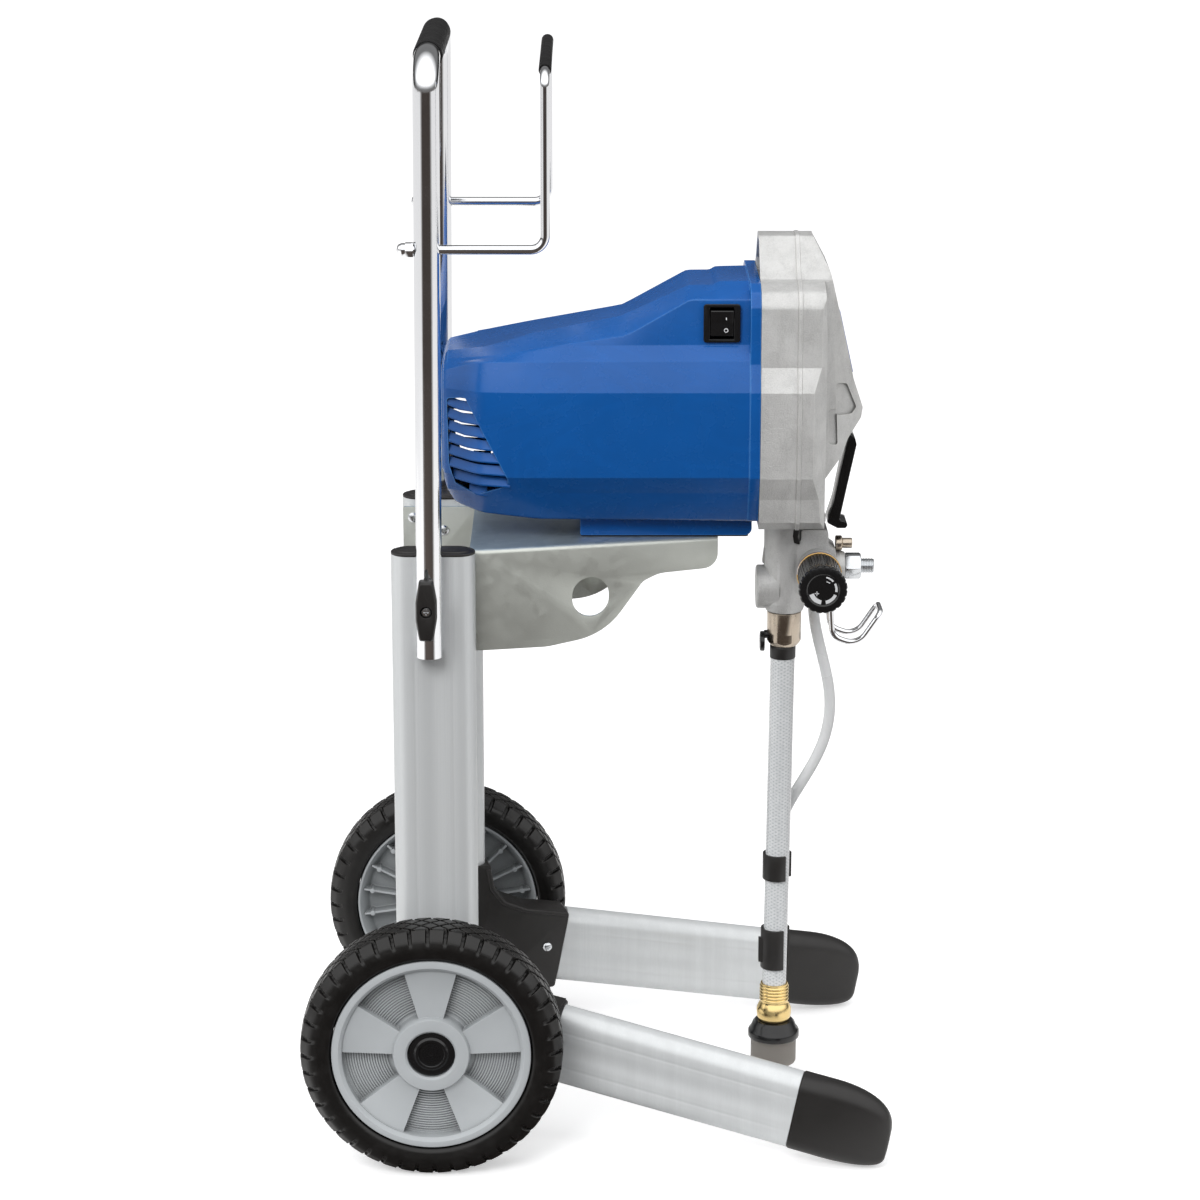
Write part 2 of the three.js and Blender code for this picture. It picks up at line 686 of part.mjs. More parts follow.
// Lines running along the shroud, as knots of [x, height] or [x, distance from the middle].
const ROOF = [
  [9, 692], [14, 698.5], [48, 704.4], [87, 713.9], [166, 728.9],
  [222.5, 757.7], [244, 757.9], [247, 760.9], [284, 761.7],
];
const ROOF_HALF = [[9, 36], [48, 41.5], [87, 30.5], [168, 26], [223, 37.5], [284, 38]];
const RIDGE = [[9, 690], [14, 694.5], [48, 700], [115, 711], [169, 719], [223, 750], [284, 749.8]];
const RIDGE_HALF = [[9, 58], [48, 64], [115, 66], [284, 66]];
const SILL = [[9, 688], [14, 692], [48, 698.8], [115, 710], [284, 710.5]];
const SHOULDER = [[9, 684], [14, 688], [40, 697.5], [284, 698.7]];
const BELLY = [[9, 594], [14, 578], [20, 568], [42, 560.5], [94, 555], [284, 553]];
// The shroud narrows towards its rear.
const REAR_TAPER = [[9, 0.72], [14, 0.78], [44, 0.96], [78, 1], [284, 1]];

function shroudSection(x, wall) {
  const taper = along(REAR_TAPER, x);
  const belly = along(BELLY, x);
  const half = [
    [along(ROOF_HALF, x), along(ROOF, x) - wall], [along(RIDGE_HALF, x), along(RIDGE, x) - wall],
    [67.5, along(SILL, x) - wall / 2], [78, along(SHOULDER, x) - wall / 2],
    [BODY_HALF_W, 672.5], [BODY_HALF_W, Math.max(598, belly + 6)],
    [76, Math.max(582, belly + 3 + wall / 2)], [62, belly + wall],
  ];
  return mirrored(half.map(([y, z]) => [y * taper - wall, z]));
}

/** Skins matching outlines of [y, z] points at rising x, with flat ends. */
function loft(stations) {
  const positions = stations.flatMap(([x, outline]) => outline.flatMap(([y, z]) => [x, y, z]));
  const count = stations[0][1].length;
  const index = [];
  for (let i = 0; i < stations.length - 1; i++) {
    for (let j = 0; j < count; j++) {
      const a = i * count + j;
      const b = i * count + ((j + 1) % count);
      index.push(a, b, a + count, b, b + count, a + count);
    }
  }
  const lastStart = (stations.length - 1) * count;
  for (const [start, flip] of [[0, true], [lastStart, false]]) {
    const outline = stations[start / count][1].map(([y, z]) => new THREE.Vector2(y, z));
    for (const [a, b, c] of THREE.ShapeUtils.triangulateShape(outline, [])) {
      const face = THREE.ShapeUtils.isClockWise(outline) === flip ? [a, b, c] : [a, c, b];
      index.push(...face.map((k) => k + start));
    }
  }
  const g = new THREE.BufferGeometry();
  g.setAttribute('position', new THREE.Float32BufferAttribute(positions, 3));
  g.setIndex(index);
  return g;
}

const SWITCH = { x: 252.6, z: 728, face: -70.4, halfW: 15.8, halfH: 16.6, openW: 10.4, openH: 13.9 };

function motorShroud() {
  const front = BODY_FRONT_X - GAP;
  const stations = [BODY_REAR_X, 14, 20, 30, 48, 87, 115, 167, 222.5, 244, 247, front];
  const skin = loft(stations.map((x) => [x, shroudSection(x, 0)]));
  const collar = common(
    crossSlab(castSection(0), front - COLLAR_W, front),
    box([0, -100, 553], [front, 100, 763]),
  );
  const outer = join(skin, collar);
  const inner = loft(stations.map((x, i) => {
    const offset = SHROUD_WALL * (i === 0) + GAP * (i === stations.length - 1);
    return [x + offset, shroudSection(Math.min(x + offset, front), SHROUD_WALL)];
  }));
  const ports = [];
  const slotCount = 7;
  for (let i = 0; i < slotCount; i++) {
    const z = 665 - i * 12.2;
    const length = 15 + i * 5.8;
    for (const [, side] of SIDES) {
      const y = side * BODY_HALF_W;
      ports.push(box([14, y - 24, z - 2.2], [14 + length, y + 24, z + 2.2]));
    }
  }
  ports.push(box(
    [SWITCH.x - 13.4, -100, SWITCH.z - 15.4],
    [SWITCH.x + 13.4, -45, SWITCH.z + 15.4],
  ));
  return cut(cut(outer, inner), ...ports);
}

function shroudBase() {
  const s = new THREE.Shape();
  s.moveTo(129, 552.4);
  s.lineTo(129, PLATE_TOP + GAP);
  s.lineTo(275, PLATE_TOP + GAP);
  s.quadraticCurveTo(279.6, PLATE_TOP + 1, 279.6, 540);
  s.lineTo(279.6, 552.4);
  const outer = sideSlab(s, -42, 42);
  const inner = box([133, -38, PLATE_TOP - 5], [276, 38, 549]);
  return cut(outer, inner);
}

function castSection(wall) {
  return mirrored([
    [13 - wall / 2, 796.5 - wall], [37 - wall, 772 - wall],
    [46 - wall, 763.5 - wall], [58 - wall, 762.5 - wall],
    [72 - wall, 757 - wall], [79 - wall, 745 - wall], [79.5 - wall, 693], [88 - wall, 672.5],
    [88 - wall, 597], [80 - wall, 577], [78 - wall, 556 + wall], [72 - wall, 548.5 + wall],
  ]);
}

function driveHousing() {
  const outer = crossSlab(castSection(0), BODY_FRONT_X, HOUSING_FRONT_X - 0.1);
  const chamber = crossSlab(castSection(CAST_WALL), BODY_FRONT_X + CAST_WALL, HOUSING_FRONT_X + 5);
  const lugOutline = mirrored([[10, 792], [31, 771], [31, 760]]);
  const lugPocket = crossSlab(lugOutline, BODY_FRONT_X - 1, BODY_FRONT_X + 10);
  const shell = cut(outer, chamber, lugPocket);
  const post = bar(7.9, [BODY_FRONT_X + 3, 0, CRANK_Z], 'x', GEAR_X + GEAR_T - 1 - BODY_FRONT_X - 3, 32);
  const shaftHole = bar(SHAFT_R + 0.6, [BODY_FRONT_X - 5, 0, MOTOR_Z], 'x', 20, 24);
  const rodHole = bar(9, [PUMP_X, 0, 540], 'z', 30, 24);
  return cut(join(shell, post), shaftHole, rodHole);
}

function frontCoverBody(wall) {
  const rear = HOUSING_FRONT_X + 0.1 - (wall > 0 ? 5 : 0);
  const frame = common(
    crossSlab(castSection(wall), rear, 360),
    planSlab(mirrored([[88, rear], [88, 331 - wall], [74 - wall, 341 - wall]])
      .map(([y, x]) => [x, y]), 500, 820),
    sideSlab([
      [rear, 500], [341.5, 500], [341.5, 700], [339, 762], [331 - wall, 796 - wall], [rear, 799],
    ], -100, 100),
  );
  const nosePlan = mirrored([[52 - wall, rear], [50 - wall, 341], [30 - wall, 377]]).map(([y, x]) => [x, y]);
  const bulge = common(
    sideSlab([
      [rear, 556 + wall], [341 - wall, 556 + wall], [342 - wall, 585], [357 - wall, 606], [362 - wall, 622],
      [375 - wall, 640], [374 - wall, 650 - wall / 2], [367 - wall, 672], [357 - wall, 719],
      [351 - wall, 742 - wall], [345 - wall, 767 - wall], [331 - wall, 796 - wall], [rear, 796 - wall],
    ], -60, 60),
    planSlab(nosePlan, 500, 820),
    crossSlab(castSection(wall), rear, 400),
  );
  return join(frame, bulge);
}

add('motor_shroud', motorShroud(), 'blue');
add('shroud_base', shroudBase(), 'blue');
add('drive_housing', driveHousing(), 'casting');
add('front_cover', cut(
  frontCoverBody(0),
  frontCoverBody(CAST_WALL),
  bar(9, [PUMP_X, 0, 540], 'z', 30, 24),
), 'casting');

function switchBezel() {
  const { x, z, face, halfW, halfH, openW, openH } = SWITCH;
  const flange = box([x - halfW, face, z - halfH], [x + halfW, face + 2.6, z + halfH]);
  const lip = box([x - 13, face + 1, z - 15], [x + 13, face + 22, z + 15]);
  const well = box([x - openW, face - 1, z - openH], [x + openW, face + 19, z + openH]);
  return cut(join(flange, lip), well);
}

/** Rocker shown switched off: its upper half stands proud by the throw angle. */
function switchRocker() {
  const { x, z, face, openW } = SWITCH;
  const throwTan = Math.tan(THREE.MathUtils.degToRad(16));
  const reach = 11.6;
  const outline = shapeOf([
    [face + 0.6, -reach], [face + 0.6, 0], [face + 0.6 - reach * throwTan, reach],
    [face + 6, reach - 1], [face + 10, 4], [face + 10, -4], [face + 6, -reach + 1],
  ]);
  const g = crossSlab(outline, x - openW + 0.5, x + openW - 0.5);
  return g.translate(0, 0, z);
}

add('switch_bezel', switchBezel(), 'black');
add('switch_rocker', switchRocker(), 'black');

function pumpDoorLatch() {
  const lever = shapeOf([
    [366.5, 620.5], [371, 617], [372.5, 611], [368.2, 590], [364.5, 572], [358.5, 542], [365, 540.5],
    [366, 537.5], [364, 535], [357, 535], [347.5, 540], [353.6, 560], [358.5, 587], [362.6, 606],
  ]);
  return sideSlab(lever, -14, 14);
}

add('pump_door_latch', pumpDoorLatch(), 'black');

// ---- Motor and drive ----------------------------------------------------------------------

/** Straight-flanked gear about X through the origin, with a tooth pointing at startAngle. */
function gearOutline(teeth, startAngle) {
  const pitchR = (GEAR_MODULE * teeth) / 2;
  const rows = [[pitchR - 1.25 * GEAR_MODULE, 1.35], [pitchR + 0.85 * GEAR_MODULE, 0.45]];
  const points = [];
  for (let i = 0; i < teeth; i++) {
    const middle = startAngle + (2 * Math.PI * i) / teeth;
    for (const [r, half] of rows) points.push([r, middle - half / r]);
    for (const [r, half] of [...rows].reverse()) points.push([r, middle + half / r]);
  }
  return shapeOf(points.map(([r, a]) => [r * Math.cos(a), r * Math.sin(a)]));
}

function driveGear() {
  const toothStep = (2 * Math.PI) / GEAR_TEETH;
  const outline = gearOutline(GEAR_TEETH, -Math.PI / 2 + toothStep / 2);
  const wheel = crossSlab(outline, GEAR_X, GEAR_X + GEAR_T);
  const pin = bar(CRANK_PIN_R, [GEAR_X + GEAR_T - 1, CRANK_THROW, 0], 'x', 18, 20);
  const bore = bar(8.25, [GEAR_X - 1, 0, 0], 'x', GEAR_T + 2, 32);
  const webs = [];
  for (let i = 0; i < 4; i++) {
    const hole = bar(9, [GEAR_X - 1, 0, 0], 'x', GEAR_T + 2, 12);
    const angle = Math.PI / 4 + (Math.PI / 2) * i;
    webs.push(hole.translate(0, 29 * Math.cos(angle), 29 * Math.sin(angle)));
  }
  return cut(join(wheel, pin), bore, ...webs).translate(0, 0, CRANK_Z);
}

function armature() {
  const shaft = turned([
    [0, 62], [4, 62], [4, 104], [13, 104], [13, 122], [SHAFT_R, 122], [SHAFT_R, 132], [24, 132],
    [24, 226], [SHAFT_R, 226], [SHAFT_R, 301], [0, 301],
  ], 'x', [0, 0, 0], 16);
  const pinion = crossSlab(gearOutline(PINION_TEETH, Math.PI / 2), GEAR_X, GEAR_X + GEAR_T - 0.5);
  return join(shaft, pinion).translate(0, 0, MOTOR_Z);
}

function coolingFan() {
  const blades = [];
  const bladeCount = 8;
  for (let i = 0; i < bladeCount; i++) {
    const blade = box([66, -1.2, 9], [80, 1.2, 36]);
    blades.push(blade.rotateX((2 * Math.PI * i) / bladeCount));
  }
  const hub = bar(11, [66, 0, 0], 'x', 16, 24);
  const disc = bar(36, [80, 0, 0], 'x', 2, 32);
  return cut(join(hub, disc, ...blades), bar(4.1, [60, 0, 0], 'x', 30, 24)).translate(0, 0, MOTOR_Z);
}

function motorCan() {
  return turnedRing([
    [15.5, 100], [35, 100], [39, 106], [39, BODY_FRONT_X - 0.4], [7, BODY_FRONT_X - 0.4],
    [7, 240], [25.5, 236], [25.5, 126], [15.5, 124],
  ], 'x', [0, 0, MOTOR_Z], 20);
}

function driveYoke() {
  const halfW = CRANK_THROW + CRANK_PIN_R + 1.5;
  const halfH = 2 * CRANK_THROW + CRANK_PIN_R + 1.5;
  const x1 = YOKE_X + YOKE_T;
  const frame = box([YOKE_X, -halfW - 6, CRANK_Z - halfH - 8], [x1, halfW + 6, CRANK_Z + halfH + 6]);
  const window = box([YOKE_X - 5, -halfW, CRANK_Z - halfH], [x1 + 5, halfW, CRANK_Z + halfH]);
  const foot = bar(9, [PUMP_X, 0, CRANK_Z - halfH - 22], 'z', 20, 24);
  const socket = bar(4.2, [PUMP_X, 0, CRANK_Z - halfH - 23], 'z', 12, 20);
  return cut(cut(join(frame, foot), window), socket);
}

const ROD_TOP = CRANK_Z - (2 * CRANK_THROW + CRANK_PIN_R + 1.5) - 12;

add('motor_can', motorCan(), 'steel');
add('armature_shaft', armature(), 'copper');
add('cooling_fan', coolingFan(), 'black');
add('drive_gear', driveGear(), 'steel');
add('drive_yoke', driveYoke(), 'steel');
add('piston_rod', turned([
  [0, 476], [7.6, 476], [7.6, 494], [6, 496],
  [6, ROD_TOP - 10.6], [4, ROD_TOP - 10.6], [4, ROD_TOP], [0, ROD_TOP],
], 'z', [PUMP_X, 0, 0], 24), 'chrome');

// ---- Pump and fluid parts -----------------------------------------------------------------

function pumpManifold() {
  const barrel = bar(PUMP_R, [PUMP_X, 0, PUMP_BOTTOM + 8], 'z', PUMP_TOP - PUMP_BOTTOM - 8, 24);
  const lower = turned([[0, 0], [16.5, 0], [PUMP_R, 9], [0, 9]], 'z', [PUMP_X, 0, PUMP_BOTTOM], 24);
  const flange = box([291, -24, 533], [346, 24, PUMP_TOP]);
  const boss = bar(19.5, [286, 0, 478], 'x', 20, 20);
  const forward = box([PUMP_X, -19, 476], [356, 19, 534]);
  const outletBoss = bar(13.5, [350, 0, OUTLET_Z], 'x', 15, 20);
  const control = bar(17, [CONTROL_X, 0, CONTROL_Z], 'y', KNOB_REAR_Y + 4.8, 20);
  const stem = bar(4.7, [CONTROL_X, 0, CONTROL_Z], 'y', -80, 16);
  const prime = bar(14, [PRIME_X, 0, CONTROL_Z], 'y', 42, 20);
  const primeStem = bar(4.5, [PRIME_X, 0, CONTROL_Z], 'y', 58, 16);
  const barb = bar(2.8, [PRIME_X, 24, 452], 'z', 38, 12);
  const bore = bar(PUMP_BORE_R, [PUMP_X, 0, PUMP_BOTTOM - 1], 'z', 100, 24);
  const outletBore = bar(4, [366, 0, OUTLET_Z], 'x', PUMP_X - 366, 16);
  return cut(
    join(barrel, lower, flange, boss, forward, outletBoss, control, stem, prime, primeStem, barb),
    bore,
    outletBore,
  );
}

function pressureKnob() {
  const flangeR = 21.5;
  const scallops = 20;
  const rim = [];
  for (let i = 0; i < scallops * 2; i++) {
    const r = i % 2 ? flangeR : flangeR - 0.8;
    const angle = (Math.PI * i) / scallops;
    rim.push([r * Math.cos(angle), r * Math.sin(angle)]);
  }
  const flange = sideSlab(shapeOf(rim), KNOB_FACE_Y, KNOB_FACE_Y + 8);
  const barrel = turned([
    [0, KNOB_FACE_Y + 6], [19, KNOB_FACE_Y + 6], [19.5, KNOB_REAR_Y], [0, KNOB_REAR_Y],
  ], 'y', [0, 0, 0], 32);
  const bore = bar(5, [0, KNOB_REAR_Y + 5, 0], 'y', -42, 24);
  return cut(join(flange, barrel), bore).translate(CONTROL_X, 0, CONTROL_Z);
}

function primeKnob() {
  const barrel = bar(14.5, [0, 45, 0], 'y', 12, 24);
  const wing = box([-5, 55, -20], [5, 68, 20]);
  const bore = bar(4.8, [0, 40, 0], 'y', 20, 20);
  return cut(join(barrel, wing), bore).translate(PRIME_X, 0, CONTROL_Z);
}

function outletFitting() {
  const hex = bar(12.2, [365.2, 0, OUTLET_Z], 'x', 14, 6);
  const thread = bar(6.7, [378, 0, OUTLET_Z], 'x', 13, 24);
  const bore = bar(3.2, [360, 0, OUTLET_Z], 'x', 40, 16);
  return cut(join(hex, thread), bore);
}

function manifoldPlug() {
  return turned([[0, 0], [6.8, 0], [6.8, 5.5], [4.6, 6.5], [4.6, 15], [0, 15]], 'x', [356.3, 0, 518], 20);
}

add('pump_manifold', pumpManifold(), 'casting');
add('pressure_knob', pressureKnob(), 'black');
const RING_T = 4;
const RING_Y = KNOB_REAR_Y + GAP;
add('pressure_ring', turnedRing([[5.2, RING_Y], [20, RING_Y], [20, RING_Y + RING_T], [5.2, RING_Y + RING_T]],
  'y', [CONTROL_X, 0, CONTROL_Z], 32), 'clear');
add('prime_valve_knob', primeKnob(), 'black');
add('outlet_fitting', outletFitting(), 'steel');
add('manifold_plug', manifoldPlug(), 'nickel');

const BUTTON_Z = 427;
const NUT_BOTTOM = 424;

function inletNut() {
  const nut = turnedRing([
    [HOSE_BORE_R, NUT_BOTTOM], [12, NUT_BOTTOM], [15.2, NUT_BOTTOM + 4.5], [15.2, PUMP_BOTTOM - 6],
    [15.4, PUMP_BOTTOM - GAP], [HOSE_BORE_R, PUMP_BOTTOM - GAP],
  ], 'z', [PUMP_X, 0, 0], 24);
  const hole = bar(4.2, [PUMP_X - 22, 0, BUTTON_Z + 6.5], 'x', 14.5, 16);
  return cut(nut, hole);
}

function inletButton() {
  const head = bar(9, [PUMP_X - 21.8, 0, BUTTON_Z], 'x', 4.4, 20);
  const stem = bar(3.8, [PUMP_X - 18, 0, BUTTON_Z + 6.5], 'x', 7.5, 16);
  return join(head, stem);
}

add('inlet_nut', inletNut(), 'nickel');
add('inlet_push_button', inletButton(), 'black');
add('hose_collar', turnedRing([
  [HOSE_BORE_R, HOSE_TOP + GAP], [11.6, HOSE_TOP + GAP],
  [11.2, NUT_BOTTOM - GAP], [HOSE_BORE_R, NUT_BOTTOM - GAP],
], 'z', [HOSE_TOP_X, 0, 0], 24), 'black');
add('suction_hose', bent([[HOSE_TOP_X, 0, HOSE_TOP], [HOSE_END_X, 0, HOSE_END + 0.3]],
  1, HOSE_R, HOSE_BORE_R, 24), 'clear');

add('hose_ferrule', turnedRing([
  [HOSE_BORE_R, 63.6], [15, 63.6], [16, 68], [16, 75],
  [13.5, 79.5], [12.6, 82], [12.6, HOSE_END], [HOSE_BORE_R, HOSE_END],
], 'z', [HOSE_END_X, 0, 0], 24), 'brass');
add('strainer_cap', turnedRing([
  [HOSE_BORE_R, 50.3], [STRAINER_R + 1.6, 50.3], [STRAINER_R + 1.6, 46.5], [STRAINER_R + 2.6, 46.5],
  [STRAINER_R + 2.6, 55], [STRAINER_R - 2, 62.5], [HOSE_BORE_R, 63.3],
], 'z', [HOSE_END_X, 0, 0], 28), 'black');
add('strainer_mesh', turned([
  [0, STRAINER_BOTTOM], [STRAINER_R, STRAINER_BOTTOM], [STRAINER_R, 50], [STRAINER_R - 1.2, 50],
  [STRAINER_R - 1.2, STRAINER_BOTTOM + 1.2], [0, STRAINER_BOTTOM + 1.2],
], 'z', [HOSE_END_X, 0, 0], 28), 'steel');

// Drain tube: from the prime valve, bowed forward, then down behind the suction hose.
const DRAIN_BACK_Y = 18.5;
add('drain_tube', bent([
  [PRIME_X, 24, 466], [PRIME_X, 24, 442], [365, 22.5, 343],
  [HOSE_END_X + 1.5, DRAIN_BACK_Y, 250], [HOSE_END_X + 1, DRAIN_BACK_Y, 104],
], [40, 108, 50], DRAIN_R, 3.4, 8, 3), 'clear');

/** A snap clip: an open ring on the suction hose and a smaller one on the drain tube behind it. */
function hoseClip(hoseX, z0, z1) {
  const ring = (inner, outer, mouth) => {
    const s = new THREE.Shape();
    s.absarc(0, 0, outer, mouth, 2 * Math.PI - mouth, false);
    s.absarc(0, 0, inner, 2 * Math.PI - mouth, mouth, true);
    return new THREE.ExtrudeGeometry(s, { depth: z1 - z0, bevelEnabled: false, curveSegments: 8 });
  };
  const hoseRing = ring(HOSE_R + 0.4, HOSE_R + 2.4, 0.6);
  hoseRing.rotateZ(-0.4);
  const drainRing = ring(DRAIN_R + 0.4, DRAIN_R + 2.2, 0.8);
  drainRing.rotateZ(Math.PI / 2);
  drainRing.translate(0.6, DRAIN_BACK_Y, 0);
  return join(hoseRing, drainRing).translate(hoseX, 0, z0);
}

/** X of the suction hose's centre line at a height. */
const hoseX = (z) => HOSE_END_X + ((z - HOSE_END) * (HOSE_TOP_X - HOSE_END_X)) / (HOSE_TOP - HOSE_END);
add('upper_hose_clip', hoseClip(hoseX(213), 201.5, 225.5), 'black');
add('lower_hose_clip', hoseClip(hoseX(134), 115, 153), 'black');

const HOOK_Y = 16;
const hookStrand = (y) => [[351.5, y, 475.6], [354, y, 436], [377, y, 427.5], [397, y, 458]];
add('pail_hook', bent([...hookStrand(-HOOK_Y), ...hookStrand(HOOK_Y).reverse()],
  [12, 16, 7, 7, 16, 12], 2.6, 0, 8, 3), 'chrome');

group.position.x = -MIDDLE_X;

export default group;
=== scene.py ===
import math

import bmesh
import bpy
import numpy as np
from mathutils import Matrix, Vector


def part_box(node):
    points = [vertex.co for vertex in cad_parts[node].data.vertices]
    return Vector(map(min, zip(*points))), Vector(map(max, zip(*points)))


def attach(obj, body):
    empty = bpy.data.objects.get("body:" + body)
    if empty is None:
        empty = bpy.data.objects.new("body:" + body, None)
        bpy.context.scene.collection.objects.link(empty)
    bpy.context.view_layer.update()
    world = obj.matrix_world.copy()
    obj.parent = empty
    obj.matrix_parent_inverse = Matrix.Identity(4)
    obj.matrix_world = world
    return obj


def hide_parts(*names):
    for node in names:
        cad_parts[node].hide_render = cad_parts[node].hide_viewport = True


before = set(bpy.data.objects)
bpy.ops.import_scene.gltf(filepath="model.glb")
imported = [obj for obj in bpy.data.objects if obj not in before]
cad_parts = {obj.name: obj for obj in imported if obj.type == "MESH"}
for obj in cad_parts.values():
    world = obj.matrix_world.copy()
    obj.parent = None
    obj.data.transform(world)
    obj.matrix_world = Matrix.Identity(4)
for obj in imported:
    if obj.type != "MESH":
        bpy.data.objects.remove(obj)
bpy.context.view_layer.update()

MM = 0.001
SIDES = (("right", -1), ("left", 1))
# Everything below is measured in millimetres from the floor under the middle of the axle.
DATUM = np.array((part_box("axle")[0][0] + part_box("axle")[1][0], 0, 0)) / 2 / MM


# ---- Reading the frame ------------------------------------------------------------------------

def low(node):
    """Lowest corner of a CAD node, in millimetres."""
    return np.array(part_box(node)[0]) / MM - DATUM


def high(node):
    return np.array(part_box(node)[1]) / MM - DATUM


def middle(node):
    return (low(node) + high(node)) / 2


# ---- Solids: (points in millimetres, faces) -----------------------------------------------------

AXES = {"x": (1, 2, 0), "y": (2, 0, 1), "z": (0, 1, 2)}


def fillet(points, radius, steps=4, closed=True):
    """Rounds the corners of a 2D outline. radius is one number or one per point."""
    n = len(points)
    out = []
    for i, p in enumerate(points):
        r = radius[i] if isinstance(radius, (list, tuple)) else radius
        if r <= 0 or (not closed and i in (0, n - 1)):
            out.append(tuple(p))
            continue
        p = np.array(p, float)
        a = np.array(points[i - 1], float) - p
        b = np.array(points[(i + 1) % n], float) - p
        la, lb = np.linalg.norm(a), np.linalg.norm(b)
        if la < 1e-6 or lb < 1e-6:
            out.append(tuple(p))
            continue
        a, b = a / la, b / lb
        half = math.acos(max(-1, min(1, float(a @ b)))) / 2
        if half > math.radians(88.5) or half < 0.02:
            reach = min(r * 0.25, la * 0.3, lb * 0.3)
            out += [tuple(p + (a * (1 - 2 * k / steps) if 2 * k < steps else b * (2 * k / steps - 1)) * reach) for k in range(steps + 1)]
            continue
        reach = min(r / math.tan(half), la * 0.48, lb * 0.48)
        r = reach * math.tan(half)
        centre = p + (a + b) / np.linalg.norm(a + b) * r / math.sin(half)
        start, end = p + a * reach - centre, p + b * reach - centre
        turn = math.atan2(start[0] * end[1] - start[1] * end[0], float(start @ end))
        for k in range(steps + 1):
            t = turn * k / steps
            c, s = math.cos(t), math.sin(t)
            out.append((centre[0] + start[0] * c - start[1] * s, centre[1] + start[0] * s + start[1] * c))
    return out


def orient(points, axis):
    """Turns points built along Z so that they run along the named axis."""
    points = np.array(points, float)
    sign = -1 if axis.startswith("-") else 1
    order = AXES[axis[-1]]
    out = np.zeros_like(points)
    out[:, order[0]] = points[:, 0]
    out[:, order[1]] = points[:, 1] * sign
    out[:, order[2]] = points[:, 2] * sign
    return out


def moved(solid, at):
    return solid[0] + np.array(at, float), solid[1]


def turned_about(solid, axis, degrees, at=(0, 0, 0)):
    m = np.array(Matrix.Rotation(math.radians(degrees), 3, axis.upper()))
    at = np.array(at, float)
    return (solid[0] - at) @ m.T + at, solid[1]


def merged(*solids):
    points, faces, offset = [], [], 0
    for p, f in solids:
        points.append(np.array(p, float))
        faces += [tuple(i + offset for i in face) for face in f]
        offset += len(p)
    return np.vstack(points), faces


def rings_to_solid(rings, caps=True, loop=False):
    """Skins closed rings of equal count; loop joins the last ring to the first."""
    n = len(rings[0])
    points = np.vstack([np.array(r, float) for r in rings])
    faces = []
    count = len(rings)
    for i in range(count if loop else count - 1):
        a, b = i * n, ((i + 1) % count) * n
        faces += [(a + j, a + (j + 1) % n, b + (j + 1) % n, b + j) for j in range(n)]
    if caps and not loop:
        faces += [tuple(range(n))[::-1], tuple((count - 1) * n + j for j in range(n))]
    return points, faces


def lathe(profile, axis="z", at=(0, 0, 0), sides=96, ring=False):
    """Spins (radius, height) points.

    ring closes the profile on itself; otherwise it starts and ends on the axis.
    """
    points, faces, rows = [], [], []
    for r, h in profile:
        if r < 1e-6:
            rows.append([len(points)])
            points.append((0, 0, h))
            continue
        rows.append(list(range(len(points), len(points) + sides)))
        for k in range(sides):
            t = 2 * math.pi * k / sides
            points.append((r * math.cos(t), r * math.sin(t), h))
    pairs = list(zip(rows, rows[1:])) + ([(rows[-1], rows[0])] if ring else [])
    for a, b in pairs:
        for k in range(sides):
            n = (k + 1) % sides
            if len(a) == 1 and len(b) == 1:
                continue
            if len(a) == 1:
                faces.append((a[0], b[k], b[n]))
            elif len(b) == 1:
                faces.append((a[k], b[0], a[n]))
            else:
                faces.append((a[k], b[k], b[n], a[n]))
    return orient(points, axis) + np.array(at, float), faces


def rod(radius, start, axis, length, sides=48, edge=0.0):
    e = min(edge, radius * 0.9)
    if e:
        profile = fillet([(0, 0), (radius, 0), (radius, length), (0, length)], e, 3, False)
    else:
        profile = [(0, 0), (radius, 0), (radius, length), (0, length)]
    return lathe(profile, axis, start, sides)


def prism(outline, axis, a, b):
    """outline in the two axes after the named one: X gives (y, z), Y gives (x, z), Z gives (x, y)."""
    keep = {"x": (1, 2, 0), "y": (0, 2, 1), "z": (0, 1, 2)}[axis]
    rings = []
    for level in (a, b):
        ring = np.zeros((len(outline), 3))
        ring[:, keep[0]] = [p[0] for p in outline]
        ring[:, keep[1]] = [p[1] for p in outline]
        ring[:, keep[2]] = level
        rings.append(ring)
    return rings_to_solid(rings)


def block(lo, hi):
    return prism([(lo[0], lo[1]), (hi[0], lo[1]), (hi[0], hi[1]), (lo[0], hi[1])], "z", lo[2], hi[2])


def oval(width, thickness, steps=14):
    """Flat oval, width along the first axis."""
    r = thickness / 2
    reach = width / 2 - r
    out = []
    for centre, start in ((reach, -90), (-reach, 90)):
        for k in range(steps + 1):
            t = math.radians(start + 180 * k / steps)
            out.append((centre + r * math.cos(t), r * math.sin(t)))
    return out


def bend_path(corners, radius, steps=10):
    """Centre line through corner points with rounded bends."""
    corners = [np.array(c, float) for c in corners]
    out = [corners[0]]
    for i in range(1, len(corners) - 1):
        r = radius[i - 1] if isinstance(radius, (list, tuple)) else radius
        before = corners[i] - corners[i - 1]
        after = corners[i + 1] - corners[i]
        before, after = before / np.linalg.norm(before), after / np.linalg.norm(after)
        turn = math.acos(max(-1, min(1, float(before @ after))))
        if turn < 1e-4:
            continue
        start = corners[i] - before * r * math.tan(turn / 2)
        inward = after - before * float(after @ before)
        inward /= np.linalg.norm(inward)
        centre = start + inward * r
        for k in range(steps + 1):
            t = turn * k / steps
            out.append(centre - inward * r * math.cos(t) + before * r * math.sin(t))
    return out + [corners[-1]]


